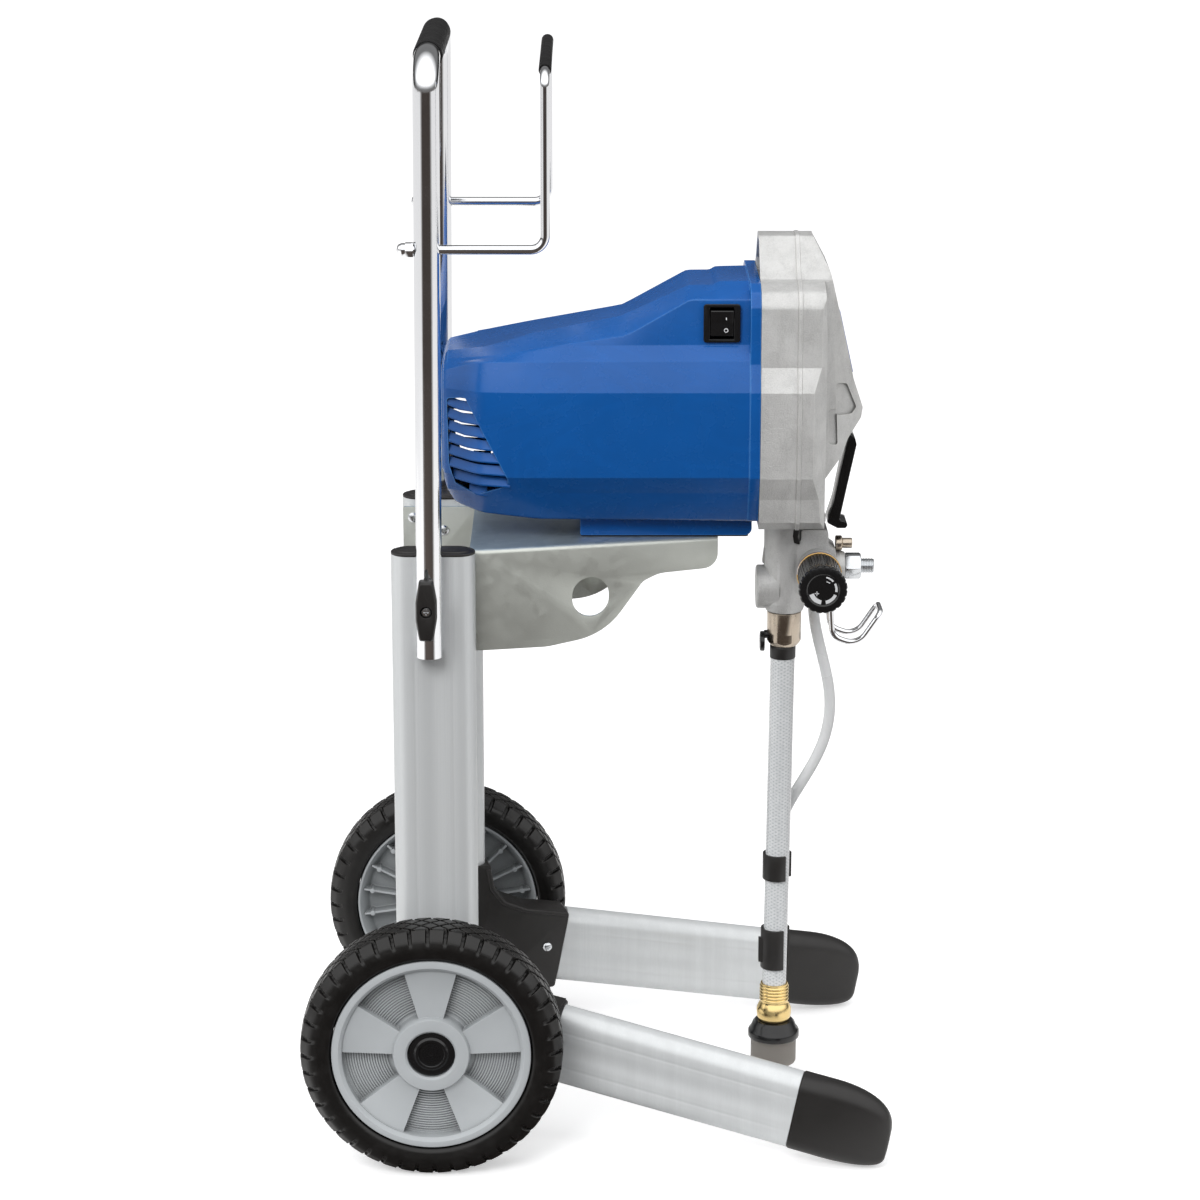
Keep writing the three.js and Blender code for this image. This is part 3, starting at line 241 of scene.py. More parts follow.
def relaxed(path, count, passes):
    """The same path at even steps with its bends eased into each other."""
    path = np.array(path, float)
    run = np.concatenate([[0], np.cumsum(np.linalg.norm(np.diff(path, axis=0), axis=1))])
    even = np.stack([np.interp(np.linspace(0, run[-1], count), run, path[:, k]) for k in range(3)], axis=1)
    for _ in range(passes):
        even[1:-1] = (even[:-2] + 2 * even[1:-1] + even[2:]) / 4
    return list(even)


def sweep(path, section, taper=None):
    """Carries a 2D section along a path without twisting. taper(i) scales the section at a station."""
    path = [np.array(p, float) for p in path]
    tangents = []
    for i in range(len(path)):
        d = path[min(i + 1, len(path) - 1)] - path[max(i - 1, 0)]
        tangents.append(d / np.linalg.norm(d))
    side = np.cross(tangents[0], (0, 0, 1))
    if np.linalg.norm(side) < 0.1:
        side = np.cross(tangents[0], (0, 1, 0))
    side /= np.linalg.norm(side)
    rings = []
    for i, (p, t) in enumerate(zip(path, tangents)):
        side = side - t * float(side @ t)
        side /= np.linalg.norm(side)
        up = np.cross(t, side)
        scale = taper(i) if taper else 1
        rings.append([p + side * u * scale + up * v * scale for u, v in section])
    return rings


def circle(radius, sides=32):
    return [(radius * math.cos(2 * math.pi * k / sides),
             radius * math.sin(2 * math.pi * k / sides)) for k in range(sides)]


def wire(path, radius, sides=24):
    """Round bar with softly rounded ends."""
    path = [np.array(p, float) for p in path]
    first, last = path[0] - path[1], path[-1] - path[-2]
    first, last = first / np.linalg.norm(first), last / np.linalg.norm(last)
    nose = radius * 0.25
    full = [path[0]] + [path[0] - first * nose] + path[1:-1] + [path[-1] - last * nose] + [path[-1]]
    ends = {0: 0.78, len(full) - 1: 0.78}
    return rings_to_solid(sweep(full, circle(radius, sides), lambda i: ends.get(i, 1)))


def pipe(path, radius, bore, sides=40):
    outer = sweep(path, circle(radius, sides))
    inner = sweep(path, circle(bore, sides))
    return rings_to_solid(outer + inner[::-1], loop=True)


# ---- Objects ------------------------------------------------------------------------------------

def raw_object(name, solid):
    mesh = bpy.data.meshes.new(name)
    mesh.from_pydata([tuple(c) for c in (np.array(solid[0], float) + DATUM) * MM], [], solid[1])
    bm = bmesh.new()
    bm.from_mesh(mesh)
    bmesh.ops.remove_doubles(bm, verts=bm.verts, dist=2e-7)
    bmesh.ops.recalc_face_normals(bm, faces=bm.faces)
    bm.to_mesh(mesh)
    bm.free()
    obj = bpy.data.objects.new(name, mesh)
    bpy.context.scene.collection.objects.link(obj)
    return obj


def settle(obj):
    """Applies every modifier."""
    bpy.context.view_layer.update()
    graph = bpy.context.evaluated_depsgraph_get()
    mesh = bpy.data.meshes.new_from_object(obj.evaluated_get(graph))
    old = obj.data
    obj.modifiers.clear()
    obj.data = mesh
    bpy.data.meshes.remove(old)


def fuse(obj, other, operation):
    """Boolean with another object, which is used up."""
    m = obj.modifiers.new("fuse", "BOOLEAN")
    m.object, m.operation, m.solver = other, operation, "MANIFOLD"
    settle(obj)
    if not obj.data.polygons:
        raise RuntimeError(f"{obj.name}: {operation} left nothing")
    bpy.data.objects.remove(other)


def boolean(obj, solid, operation):
    fuse(obj, raw_object("tool", solid), operation)


def shade(obj, angle):
    obj.data.shade_smooth()
    obj.data.set_sharp_from_angle(angle=math.radians(angle))


def soften(obj, width, segments=2, angle=32):
    m = obj.modifiers.new("edge", "BEVEL")
    m.width, m.segments, m.limit_method, m.angle_limit = width * MM, segments, "ANGLE", math.radians(angle)
    m.use_clamp_overlap = True
    m.miter_outer = "MITER_ARC"
    m.harden_normals = False
    settle(obj)


def dress(obj, material, body, stands_for=(), smooth=34):
    """Shades a finished mesh, gives it its material and puts it on its body."""
    shade(obj, smooth)
    obj.data.materials.clear()
    obj.data.materials.append(material)
    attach(obj, body)
    if stands_for:
        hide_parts(*stands_for)
    return obj


def make(name, solid, material, body, stands_for=(), add=(), cut=(), keep=(), bevel=0.0, segments=2,
         angle=32, smooth=34):
    """One piece: trims, joins and cuts solids, softens the edges and puts it on its body."""
    obj = raw_object(name, solid)
    for s in keep:
        boolean(obj, s, "INTERSECT")
    for s in add:
        boolean(obj, s, "UNION")
    for s in cut:
        boolean(obj, s, "DIFFERENCE")
    if bevel:
        soften(obj, bevel, segments, angle)
    return dress(obj, material, body, stands_for, smooth)


# ---- Materials ------------------------------------------------------------------------------------

class Surface:
    """A Principled material with its nodes laid out by short calls."""

    def __init__(self, name, color, roughness, metallic=0.0, coat=0.0):
        self.material = bpy.data.materials.new(name)
        self.material.use_nodes = True
        self.tree = self.material.node_tree
        self.out = self.tree.nodes["Principled BSDF"]
        self.set(self.out,
                 **{"Base Color": (*color, 1), "Roughness": roughness, "Metallic": metallic,
                    "Coat Weight": coat, "IOR": 1.45})
        self.place = self.node("ShaderNodeTexCoord").outputs["Object"]

    def set(self, node, **values):
        for key, value in values.items():
            socket = node.inputs[int(key[1:])] if key[0] == "_" and key[1:].isdigit() else node.inputs[key]
            if isinstance(value, bpy.types.NodeSocket):
                self.tree.links.new(value, socket)
            else:
                socket.default_value = value
        return node

    def node(self, kind, settings=None, **values):
        n = self.tree.nodes.new(kind)
        for key, value in (settings or {}).items():
            setattr(n, key, value)
        return self.set(n, **values)

    def stretched(self, scale, turn=(0, 0, 0)):
        return self.node("ShaderNodeMapping", Vector=self.place, Scale=scale, Rotation=turn).outputs[0]

    def noise(self, scale, detail=3.0, rough=0.5, at=None, distortion=0.0):
        n = self.node("ShaderNodeTexNoise", Vector=at or self.place, Scale=scale, Detail=detail,
                      Roughness=rough, Distortion=distortion)
        return n.outputs["Fac"]

    def ramp(self, value, low_in, high_in, low_out=0.0, high_out=1.0):
        n = self.node("ShaderNodeMapRange", {"clamp": True}, Value=value, _1=low_in, _2=high_in, _3=low_out,
                      _4=high_out)
        return n.outputs[0]

    def math(self, operation, a, b=0.0):
        return self.node("ShaderNodeMath", {"operation": operation}, _0=a, _1=b).outputs[0]

    def mix(self, factor, a, b):
        n = self.node("ShaderNodeMixRGB", Fac=factor)
        for key, value in (("Color1", a), ("Color2", b)):
            self.set(n, **{key: (*value, 1) if isinstance(value, tuple) else value})
        return n.outputs[0]

    def bump(self, height, distance, strength=1.0, normal=None):
        values = dict(Height=height, Distance=distance, Strength=strength)
        if normal is not None:
            values["Normal"] = normal
        return self.node("ShaderNodeBump", **values).outputs[0]

    def edges(self, radius, full=0.86):
        """1 on sharp edges, 0 on flats."""
        soft = self.node("ShaderNodeBevel", {"samples": 6}, Radius=radius).outputs[0]
        plain = self.node("ShaderNodeNewGeometry").outputs["Normal"]
        dot = self.node("ShaderNodeVectorMath", {"operation": "DOT_PRODUCT"}, _0=soft,
                        _1=plain).outputs["Value"]
        return self.ramp(dot, 0.997, full, 0.0, 1.0)

    def finish(self, **values):
        self.set(self.out, **values)
        return self.material


def tint(color, factor):
    return tuple(min(1.0, c * factor) for c in color)


def plastic(name, color, roughness, grain=0.00006, grain_scale=1400, coat=0.0, edge=1.5, shine=0.5,
            crevice_shade_reach=0.0):
    s = Surface(name, color, roughness, coat=coat)
    s.set(s.out, **{"Specular IOR Level": shine})
    cloud = s.noise(14, 4)
    base = s.mix(s.ramp(cloud, 0.3, 0.7), tint(color, 0.93), tint(color, 1.07))
    # painted shade: where the ambient-occlusion probe finds nearby surfaces, the colour is darkened almost to black
    if crevice_shade_reach:
        open_air = s.node("ShaderNodeAmbientOcclusion", {"samples": 4}, Distance=crevice_shade_reach).outputs["AO"]
        base = s.mix(s.ramp(open_air, 0.30, 0.62), tint(color, 0.02), base)
    # painted highlight: rounded edges are lightened as if catching the light
    if edge != 1:
        base = s.mix(s.math("MULTIPLY", s.edges(0.0011), 0.6), base,
                     tuple(min(1, c * edge + 0.004) for c in color))
    fine = s.noise(grain_scale, 2, 0.6)
    normal = s.bump(fine, grain)
    rough = s.ramp(s.noise(60, 5), 0.3, 0.75, roughness * 0.86, roughness * 1.18)
    return s.finish(**{"Base Color": base, "Roughness": rough, "Normal": normal})


def painted_blue():
    """Moulded blue with a soft flow pattern and light caught along its creases."""
    color = (0.0040, 0.094, 0.36)
    s = Surface("blue_plastic", color, 0.27)
    cloud = s.noise(14, 4)
    base = s.mix(s.ramp(cloud, 0.3, 0.7), tint(color, 0.93), tint(color, 1.07))
    flow = s.noise(5, 3, 0.5, s.stretched((1, 1, 2.6)), distortion=1.6)
    waves = s.ramp(s.math("SINE", s.math("MULTIPLY", flow, 55)), 0.2, 1.0)
    base = s.mix(s.math("MULTIPLY", waves, 0.12), base, tint(color, 1.35))
    base = s.mix(s.math("MULTIPLY", s.edges(0.0016, 0.955), 0.75), base, (0.07, 0.25, 0.60))
    rough = s.ramp(s.noise(60, 5), 0.3, 0.75, 0.23, 0.31)
    return s.finish(**{"Base Color": base, "Roughness": rough,
                       "Normal": s.bump(s.noise(300, 2, 0.6), 0.00001)})


def metal(name, color, roughness, spread=0.25, scale=(40, 40, 40), turn=(0, 0, 0), line_depth=0.0, tone=0.06,
          metallic=1.0, spots=0.0):
    s = Surface(name, color, roughness, metallic)
    drawn = s.noise(22, 6, 0.6, s.stretched(scale, turn))
    base = s.mix(s.ramp(drawn, 0.3, 0.7), tint(color, 1 - tone), tint(color, 1 + tone))
    if spots:
        dirt = s.ramp(s.noise(95, 8, 0.7), 0.62, 0.78)
        base = s.mix(s.math("MULTIPLY", dirt, spots), base, tint(color, 0.45))
    rough = s.ramp(s.noise(35, 5), 0.3, 0.7, roughness * (1 - spread), roughness * (1 + spread))
    values = {"Base Color": base, "Roughness": rough}
    if line_depth:
        values["Normal"] = s.bump(drawn, line_depth)
    return s.finish(**values)


def cast_metal():
    color = (0.60, 0.60, 0.59)
    s = Surface("cast_aluminium", color, 0.40, 0.45)
    grain = s.noise(900, 4, 0.7)
    patch = s.noise(26, 5, 0.6)
    speck = s.ramp(s.noise(480, 3, 0.6), 0.66, 0.74)
    streak = s.noise(30, 6, 0.7, s.stretched((2.2, 2.2, 0.7)))
    base = s.mix(s.ramp(patch, 0.3, 0.7), tint(color, 0.80), tint(color, 1.16))
    base = s.mix(s.ramp(streak, 0.48, 0.62, 0.0, 0.5), base, tint(color, 0.70))
    base = s.mix(s.ramp(grain, 0.35, 0.75, 0.0, 0.7), base, tint(color, 1.25))
    base = s.mix(s.math("MULTIPLY", speck, 0.35), base, tint(color, 0.45))
    # lighter edges: painted highlight where the edges catch the light, partly rubbed wear
    base = s.mix(s.math("MULTIPLY", s.edges(0.0012), 0.7), base, (0.86, 0.85, 0.82))
    # painted shade: crevices found by the ambient-occlusion probe are darkened
    open_air = s.node("ShaderNodeAmbientOcclusion", {"samples": 6}, Distance=0.016).outputs["AO"]
    base = s.mix(s.ramp(open_air, 0.20, 0.80), tint(color, 0.35), base)
    normal = s.bump(grain, 0.00042, 1.0, s.bump(patch, 0.0016, 0.8))
    return s.finish(**{"Base Color": base, "Normal": normal,
                       "Roughness": s.ramp(grain, 0.3, 0.7, 0.36, 0.55)})


def zinc_plate():
    color = (0.60, 0.62, 0.575)
    s = Surface("zinc_plate", color, 0.36, 0.55)
    flake = s.node("ShaderNodeTexVoronoi", Vector=s.place, Scale=130.0).outputs["Color"]
    up = s.node("ShaderNodeNewGeometry").outputs["Normal"]
    facing = s.node("ShaderNodeSeparateXYZ", Vector=up).outputs["Z"]
    cloud = s.noise(18, 6, 0.65)
    base = s.mix(s.ramp(cloud, 0.3, 0.7), tint(color, 0.95), tint(color, 1.05))
    # painted light: faces that point upwards take a darker, cool blue-grey tint, broken up by the spangle flakes, so
    # the tops read differently from the sides
    cool = s.mix(s.math("MULTIPLY", flake, 0.45), (0.33, 0.43, 0.50), (0.62, 0.70, 0.75))
    base = s.mix(s.ramp(facing, 0.6, 0.95), base, cool)
    rolled = s.noise(30, 5, 0.6, s.stretched((3, 60, 60)))
    return s.finish(**{"Base Color": base, "Normal": s.bump(rolled, 0.00012),
                       "Roughness": s.ramp(flake, 0, 1, 0.28, 0.46)})


def extruded(name, turn):
    """Satin aluminium with fine die lines along the bar."""
    color = (0.70, 0.72, 0.725)
    s = Surface(name, color, 0.36, 0.22)
    lines = s.noise(60, 7, 0.65, s.stretched((14, 14, 0.12), turn))
    soft = s.noise(9, 3, 0.5, s.stretched((9, 9, 0.12), turn))
    base = s.mix(s.ramp(soft, 0.35, 0.65), tint(color, 0.96), tint(color, 1.04))
    base = s.mix(s.ramp(lines, 0.4, 0.6, 0.0, 0.4), base, tint(color, 0.95))
    return s.finish(**{"Base Color": base, "Normal": s.bump(lines, 0.00008),
                       "Roughness": s.ramp(lines, 0.3, 0.7, 0.28, 0.42)})


def chrome_plate():
    s = Surface("chrome_plate", (0.83, 0.84, 0.86), 0.07, 1.0)
    haze = s.noise(30, 6, 0.6)
    return s.finish(Roughness=s.ramp(haze, 0.3, 0.75, 0.05, 0.16), Normal=s.bump(s.noise(160, 3), 0.00003))


def tyre_rubber():
    color = (0.0078, 0.0072, 0.0068)
    s = Surface("tyre_rubber", color, 0.5)
    dust = s.ramp(s.noise(70, 6, 0.7), 0.45, 0.75)
    base = s.mix(s.math("MULTIPLY", dust, 0.4), color, (0.018, 0.0165, 0.0155))
    # lighter edges: painted highlight where the lug edges catch the light, partly rubbed wear
    base = s.mix(s.math("MULTIPLY", s.edges(0.0010), 0.6), base, (0.060, 0.056, 0.052))
    # painted shade: grooves found by the ambient-occlusion probe are darkened almost to black, and their specular
    # level is turned down so they show no reflection
    open_air = s.node("ShaderNodeAmbientOcclusion", {"samples": 4}, Distance=0.0045).outputs["AO"]
    base = s.mix(s.ramp(open_air, 0.35, 0.80), (0.0008, 0.0008, 0.0008), base)
    fine = s.noise(1100, 3, 0.6)
    s.set(s.out, **{"Specular IOR Level": s.ramp(open_air, 0.35, 0.80, 0.05, 0.5)})
    return s.finish(**{"Base Color": base, "Roughness": s.ramp(dust, 0, 1, 0.30, 0.50),
                       "Normal": s.bump(fine, 0.00008)})


def braided_hose():
    """Clear tube with a white crossed yarn braid inside."""
    at = middle("suction_hose") + DATUM
    s = Surface("braided_hose", (0.75, 0.77, 0.78), 0.12, coat=0.6)
    xyz = s.node("ShaderNodeSeparateXYZ", Vector=s.place)
    x = s.math("SUBTRACT", xyz.outputs["X"], at[0] * MM)
    angle = s.math("ARCTAN2", xyz.outputs["Y"], x)
    strands = []
    for sign in (1, -1):
        phase = s.math("ADD", s.math("MULTIPLY", angle, 12.0 * sign),
                       s.math("MULTIPLY", xyz.outputs["Z"], 1900.0))
        strands.append(s.ramp(s.math("SINE", phase), -0.45, 0.15))
    yarn = s.math("MAXIMUM", strands[0], strands[1])
    cloth = s.noise(600, 3)
    light = s.mix(s.ramp(cloth, 0.3, 0.7), (0.70, 0.72, 0.73), (0.86, 0.87, 0.88))
    base = s.mix(yarn, (0.58, 0.61, 0.62), light)
    return s.finish(**{"Base Color": base, "Normal": s.bump(yarn, 0.00018)})


def clear_tube():
    s = Surface("clear_tube", (0.86, 0.88, 0.88), 0.16, coat=0.4)
    cloud = s.noise(30, 3)
    base = s.mix(s.ramp(cloud, 0.3, 0.7), (0.88, 0.89, 0.89), (0.95, 0.96, 0.96))
    return s.finish(**{"Base Color": base, "Transmission Weight": 0.12,
                       "Roughness": s.ramp(cloud, 0.3, 0.7, 0.18, 0.3)})


def woven_wire():
    at = middle("strainer_mesh") + DATUM
    s = Surface("woven_wire", (0.45, 0.42, 0.38), 0.35, 0.9)
    xyz = s.node("ShaderNodeSeparateXYZ", Vector=s.place)
    angle = s.math("ARCTAN2", s.math("SUBTRACT", xyz.outputs["Y"], at[1] * MM),
                   s.math("SUBTRACT", xyz.outputs["X"], at[0] * MM))
    around = s.math("SINE", s.math("MULTIPLY", angle, 110.0))
    along = s.math("SINE", s.math("MULTIPLY", xyz.outputs["Z"], 5200.0))
    weave = s.math("MULTIPLY", around, along)
    base = s.mix(s.ramp(weave, -0.3, 0.3), (0.06, 0.05, 0.045), (0.62, 0.59, 0.55))
    return s.finish(**{"Base Color": base, "Normal": s.bump(weave, 0.0002)})


def ring_print():
    """Three plain zones round the pressure ring: blue, yellow and white."""
    at = middle("pressure_ring") + DATUM
    s = Surface("ring_print", (0.8, 0.8, 0.8), 0.3, coat=0.3)
    xyz = s.node("ShaderNodeSeparateXYZ", Vector=s.place)
    y = s.ramp(xyz.outputs["Y"], (at[1] - 2) * MM, (at[1] + 2) * MM)
    angle = s.math("ARCTAN2", s.math("SUBTRACT", xyz.outputs["Z"], at[2] * MM),
                   s.math("SUBTRACT", xyz.outputs["X"], at[0] * MM))
    lit = s.mix(s.ramp(angle, 2.3, 2.9), (0.80, 0.50, 0.16), (0.80, 0.72, 0.66))
    base = s.mix(s.ramp(y, 0.30, 0.32), lit, (0.02, 0.03, 0.16))
    speckle = s.noise(300, 3)
    return s.finish(**{"Base Color": base, "Roughness": s.ramp(speckle, 0.3, 0.7, 0.25, 0.4),
                       "Normal": s.bump(speckle, 0.00003)})


def hub_plastic():
    color = (0.455, 0.478, 0.490)
    s = Surface("hub_plastic", color, 0.42)
    cloud = s.noise(22, 5)
    base = s.mix(s.ramp(cloud, 0.3, 0.7), tint(color, 0.96), tint(color, 1.04))
    # painted shade: the hollows between the ribs, found by the ambient-occlusion probe, are darkened
    open_air = s.node("ShaderNodeAmbientOcclusion", {"samples": 4}, Distance=0.022).outputs["AO"]
    base = s.mix(s.ramp(open_air, 0.20, 0.80), tint(color, 0.24), base)
    # painted highlight: edges are lightened as if catching the light
    base = s.mix(s.math("MULTIPLY", s.edges(0.0009), 0.6), base, (0.62, 0.64, 0.65))
    return s.finish(**{"Base Color": base, "Normal": s.bump(s.noise(1300, 2), 0.00005),
                       "Roughness": s.ramp(cloud, 0.3, 0.7, 0.36, 0.5)})


BLUE = painted_blue()
# the vent slats use painted shade: the gaps between them are darkened almost to black
VENT = plastic("blue_vent", (0.0060, 0.090, 0.34), 0.34, 0.00001, 300, edge=1, crevice_shade_reach=0.010)
BLACK = plastic("black_plastic", (0.0185, 0.0172, 0.0165), 0.42, 0.00008, 1300, edge=2.6)
GLOSS_BLACK = plastic("gloss_black", (0.008, 0.008, 0.0085), 0.24, 0.00002, 900, coat=0.2, edge=1)
GRIP = plastic("grip_rubber", (0.0085, 0.0082, 0.0085), 0.50, 0.00012, 700, edge=1.6, shine=0.28)
WHITE_MARK = plastic("white_marks", (0.74, 0.75, 0.76), 0.45, 0.00002, 900, edge=1)
BADGE = plastic("badge_strip", (0.42, 0.47, 0.72), 0.28, 0.00002, 900, coat=0.5, edge=1)
HUB = hub_plastic()
TYRE = tyre_rubber()
CAST = cast_metal()
ZINC = zinc_plate()
CHROME = chrome_plate()
STEEL = metal("machined_steel", (0.55, 0.56, 0.57), 0.30, scale=(60, 60, 60), line_depth=0.00003, spots=0.1)
BOLT = metal("plated_fastener", (0.66, 0.68, 0.70), 0.24, scale=(60, 60, 60), line_depth=0.00002)
NICKEL = metal("warm_nickel", (0.50, 0.43, 0.35), 0.27, scale=(90, 90, 3), line_depth=0.00004, spots=0.25)
BRASS = metal("turned_brass", (0.80, 0.60, 0.27), 0.22, scale=(4, 4, 120), line_depth=0.00004)
COPPER = metal("armature_metal", (0.45, 0.30, 0.22), 0.4, scale=(30, 90, 90), line_depth=0.0001)
HOSE = braided_hose()
TUBE = clear_tube()
MESH = woven_wire()
RING = ring_print()
UPRIGHT = extruded("extrusion_upright", (0, 0, 0))

# ---- Wheels ---------------------------------------------------------------------------------------

WHEEL_Z = middle("axle")[2]
TRACK = (middle("left_tyre")[1] - middle("right_tyre")[1]) / 2
WHEEL_R = (high("left_tyre")[2] - low("left_tyre")[2]) / 2 + 0.3
TYRE_W = (high("left_tyre")[1] - low("left_tyre")[1]) / 2
RIM_R = 86.5
TREAD_COUNT = 44
TREAD_DEPTH = 3.2


def tyre_solid():
    """Carcass whose outer skin is lowered along a crossed groove pattern, with shoulder lugs."""
    around, across = 1200, 92
    shoulder = 14.5
    half_profile = fillet(
        [(0, WHEEL_R), (shoulder, WHEEL_R - 0.6), (TYRE_W - 1.2, WHEEL_R - 8), (TYRE_W, 98),
         (TYRE_W - 1.5, 89), (19, RIM_R + 0.6)],
        [0, 5, 6, 9, 3, 0], 8, False)
    full = [(-y, r) for y, r in half_profile[::-1]] + list(half_profile[1:])
    full = np.array(full)
    run = np.concatenate([[0], np.cumsum(np.linalg.norm(np.diff(full, axis=0), axis=1))])
    crown = (run[-1] / 2 - 17.5, run[-1] / 2 + 17.5)
    side = (across - 64) // 2
    s = np.concatenate([np.linspace(0, crown[0], side, endpoint=False),
            np.linspace(*crown, 64, endpoint=False),
                        np.linspace(crown[1], run[-1], side)])
    y = np.interp(s, run, full[:, 0])
    r = np.interp(s, run, full[:, 1])
    u = np.arange(around) / around * TREAD_COUNT
    uu, yy = np.meshgrid(u, y, indexing="ij")
    rr = np.broadcast_to(r, uu.shape).copy()

    def groove(distance, width, edge=0.22):
        return np.clip((width / 2 + edge - distance) / (2 * edge), 0, 1)

    pitch = 2 * math.pi * WHEEL_R / TREAD_COUNT
    cut = np.zeros_like(uu)
    for sign in (1, -1):
        wave = uu + sign * yy / 12.5
        cut = np.maximum(cut, groove(np.abs(wave - np.round(wave)) * pitch * 0.56, 1.5))
    cut *= np.clip((shoulder - np.abs(yy)) / 1.2 + 0.4, 0, 1)
    lug_phase = uu + np.sign(yy) * 0.12
    lug_gap = groove(np.abs(lug_phase - np.round(lug_phase)) * pitch, 3.4, 0.35)
    lug_zone = np.clip((np.abs(yy) - 12.5) / 1.0, 0, 1) * np.clip((rr - 102.5) / 1.6, 0, 1)
    depth = np.maximum(cut * TREAD_DEPTH, lug_gap * lug_zone * 3.2)
    drop = np.where(np.abs(yy) > TYRE_W - 4, 0.55, 1.0)
    inward = np.clip((np.abs(yy) - shoulder) / 8, 0, 1)
    rr = rr - depth * drop * (1 - 0.45 * inward)
    yy = yy - np.sign(yy) * depth * 0.55 * inward
    angle = np.arange(around) / around * 2 * math.pi
    points = np.stack([rr * np.cos(angle)[:, None], yy, rr * np.sin(angle)[:, None]], axis=2).reshape(-1, 3)
    faces = []
    for i in range(around):
        a, b = i * across, ((i + 1) % around) * across
        faces += [(a + j, a + j + 1, b + j + 1, b + j) for j in range(across - 1)]
        faces.append((a + across - 1, a, b, b + across - 1))
    return points, faces


def wheel_solids():
    """Hub body with concentric ribs, five wedge spokes and inner ribs; the outer face looks along +Y."""
    ribs = []
    first, last, count = 38.0, 76.2, 17
    step = (last - first) / count
    for k in range(count):
        r = last - k * step
        ribs += [(r, 9.2), (r - step * 0.45, 9.2), (r - step * 0.55, 8.0), (r - step * 0.98, 8.0)]
    dish = [(77.6, 19.5), (77.4, 9.2)] + ribs + [(35.5, 8.6), (34.6, 12), (33.6, 19.5)]
    profile = fillet([(6.7, -66), (16, -66), (16, -8), (30, -4), (76, -4), (84.4, -20.3), (RIM_R, -20.3),
            (RIM_R, 21.2), (80.6, 22.4)],
                     [0, 1, 3, 3, 3, 1, 0.8, 1.2, 1.2], 3, False)
    profile += dish + fillet([(32.4, 22.0), (22.6, 22.4), (20.8, 20.6), (20.8, 15.2), (6.7, 15.2)],
                             [1.6, 0.8, 0.5, 0.5, 0], 3, False)
    body = lathe(profile, "y", sides=160, ring=True)
    spokes = []
    half = math.pi / 10
    for k in range(5):
        a = math.pi / 2 + 2 * math.pi * k / 5
        outline = []
        for t in np.linspace(a - half * 0.94, a + half * 0.94, 12):
            outline.append((79.2 * math.cos(t), 79.2 * math.sin(t)))
        for t in np.linspace(a + half * 1.02, a - half * 1.02, 8):
            outline.append((32.9 * math.cos(t), 32.9 * math.sin(t)))
        spokes.append(prism(outline, "y", 6.5, 17.3))
    ribs, pips = [], []
    rib = prism([(14, -3.5), (14, -26), (40, -17.5), (81.5, -16.5), (77, -3.5)], "z", -0.9, 0.9)
    pip = rod(2.3, (73.5, -3.5, 0), "-y", 14.5, 16)
    for k in range(20):
        ribs.append(turned_about(rib, "y", -18.0 * (k + 0.5)))
        pips.append(turned_about(pip, "y", -18.0 * (k + 0.5)))
    return body, [merged(*spokes), merged(*ribs), merged(*pips)]


def cap_solid():
    rings = [(0, 17.2)]
    for k in range(4):
        r = 1.6 + k * 1.9
        rings += [(r, 17.2), (r + 0.2, 17.9), (r + 0.9, 17.9), (r + 1.1, 17.2)]
    rings += fillet([(10.6, 17.2), (11.2, 19.4), (13.4, 19.8), (15.2, 18.4), (19.9, 18.2), (20.3, 15.4),
            (0, 15.4)],
                    [0, 0.8, 0.8, 0.8, 0.5, 0, 0], 3, False)
    return lathe(rings, "y", sides=72)


tyre_shape = tyre_solid()
hub_body, hub_parts = wheel_solids()
for word, side in SIDES:
    spin = 0 if side > 0 else 180
    centre = (0, side * TRACK, WHEEL_Z)

    def at_wheel(solid):
        return moved(turned_about(solid, "z", spin), centre)

    make(f"{word}_tyre_skin", at_wheel(tyre_shape), TYRE, f"{word}_wheel", [f"{word}_tyre"],
         smooth=40)
    make(f"{word}_hub_moulding", at_wheel(hub_body), HUB, f"{word}_wheel",
            [f"{word}_wheel_hub"],
         add=[at_wheel(s) for s in hub_parts], bevel=0.35, segments=2, angle=40)
    make(f"{word}_push_cap", at_wheel(cap_solid()), GLOSS_BLACK, f"{word}_wheel",
         [f"{word}_axle_cap"])

end = high("axle")[1]
make("axle_bar", lathe(fillet([(0, -end), (6.35, -end), (6.35, end), (0, end)], 0.9, 3, False), "y",
        (0, 0, WHEEL_Z), 48),
     STEEL, "frame", ["axle"])

# ---- Columns, legs, brackets and feet --------------------------------------------------------------

COLUMN_X = middle("left_column")[0]
COLUMN_Y = middle("left_column")[1]
COLUMN_W = high("left_column")[0] - low("left_column")[0]
COLUMN_T = high("left_column")[1] - low("left_column")[1]
COLUMN_Z = (low("left_column")[2], high("left_column")[2])


def fluted(width, thickness, inset=0.0):
    """The extrusion's outline with one broad shallow groove and two fine lines in each flat side."""
    width, thickness = width - 2 * inset, thickness - 2 * inset
    r = thickness / 2
    reach = width / 2 - r
    out = []
    for sign in (1, -1):
        for k in range(17):
            t = math.radians(-90 * sign + 180 * k / 16)
            out.append((sign * reach + r * math.cos(t), r * math.sin(t)))
        for x in np.linspace(reach, -reach, 46)[1:-1]:
            broad = 1.25 * math.cos(min(1, abs(x) / 11.5) * math.pi / 2) ** 2
            line = 0.35 * max(0, 1 - ((abs(x) - 16.5) / 1.6) ** 2)
            depth = 0 if inset else broad + line
            out.append((sign * x, sign * (r - depth)))
    return out


def hollow_bar(z0, z1):
    """Extrusion standing along Z, with its long side along X."""
    outer, inner = fluted(COLUMN_W, COLUMN_T), fluted(COLUMN_W, COLUMN_T, 2.5)
    ring = lambda outline, z: [(u, v, z) for u, v in outline]
    return rings_to_solid([ring(outer, z0), ring(outer, z1), ring(inner, z1), ring(inner, z0)], loop=True)


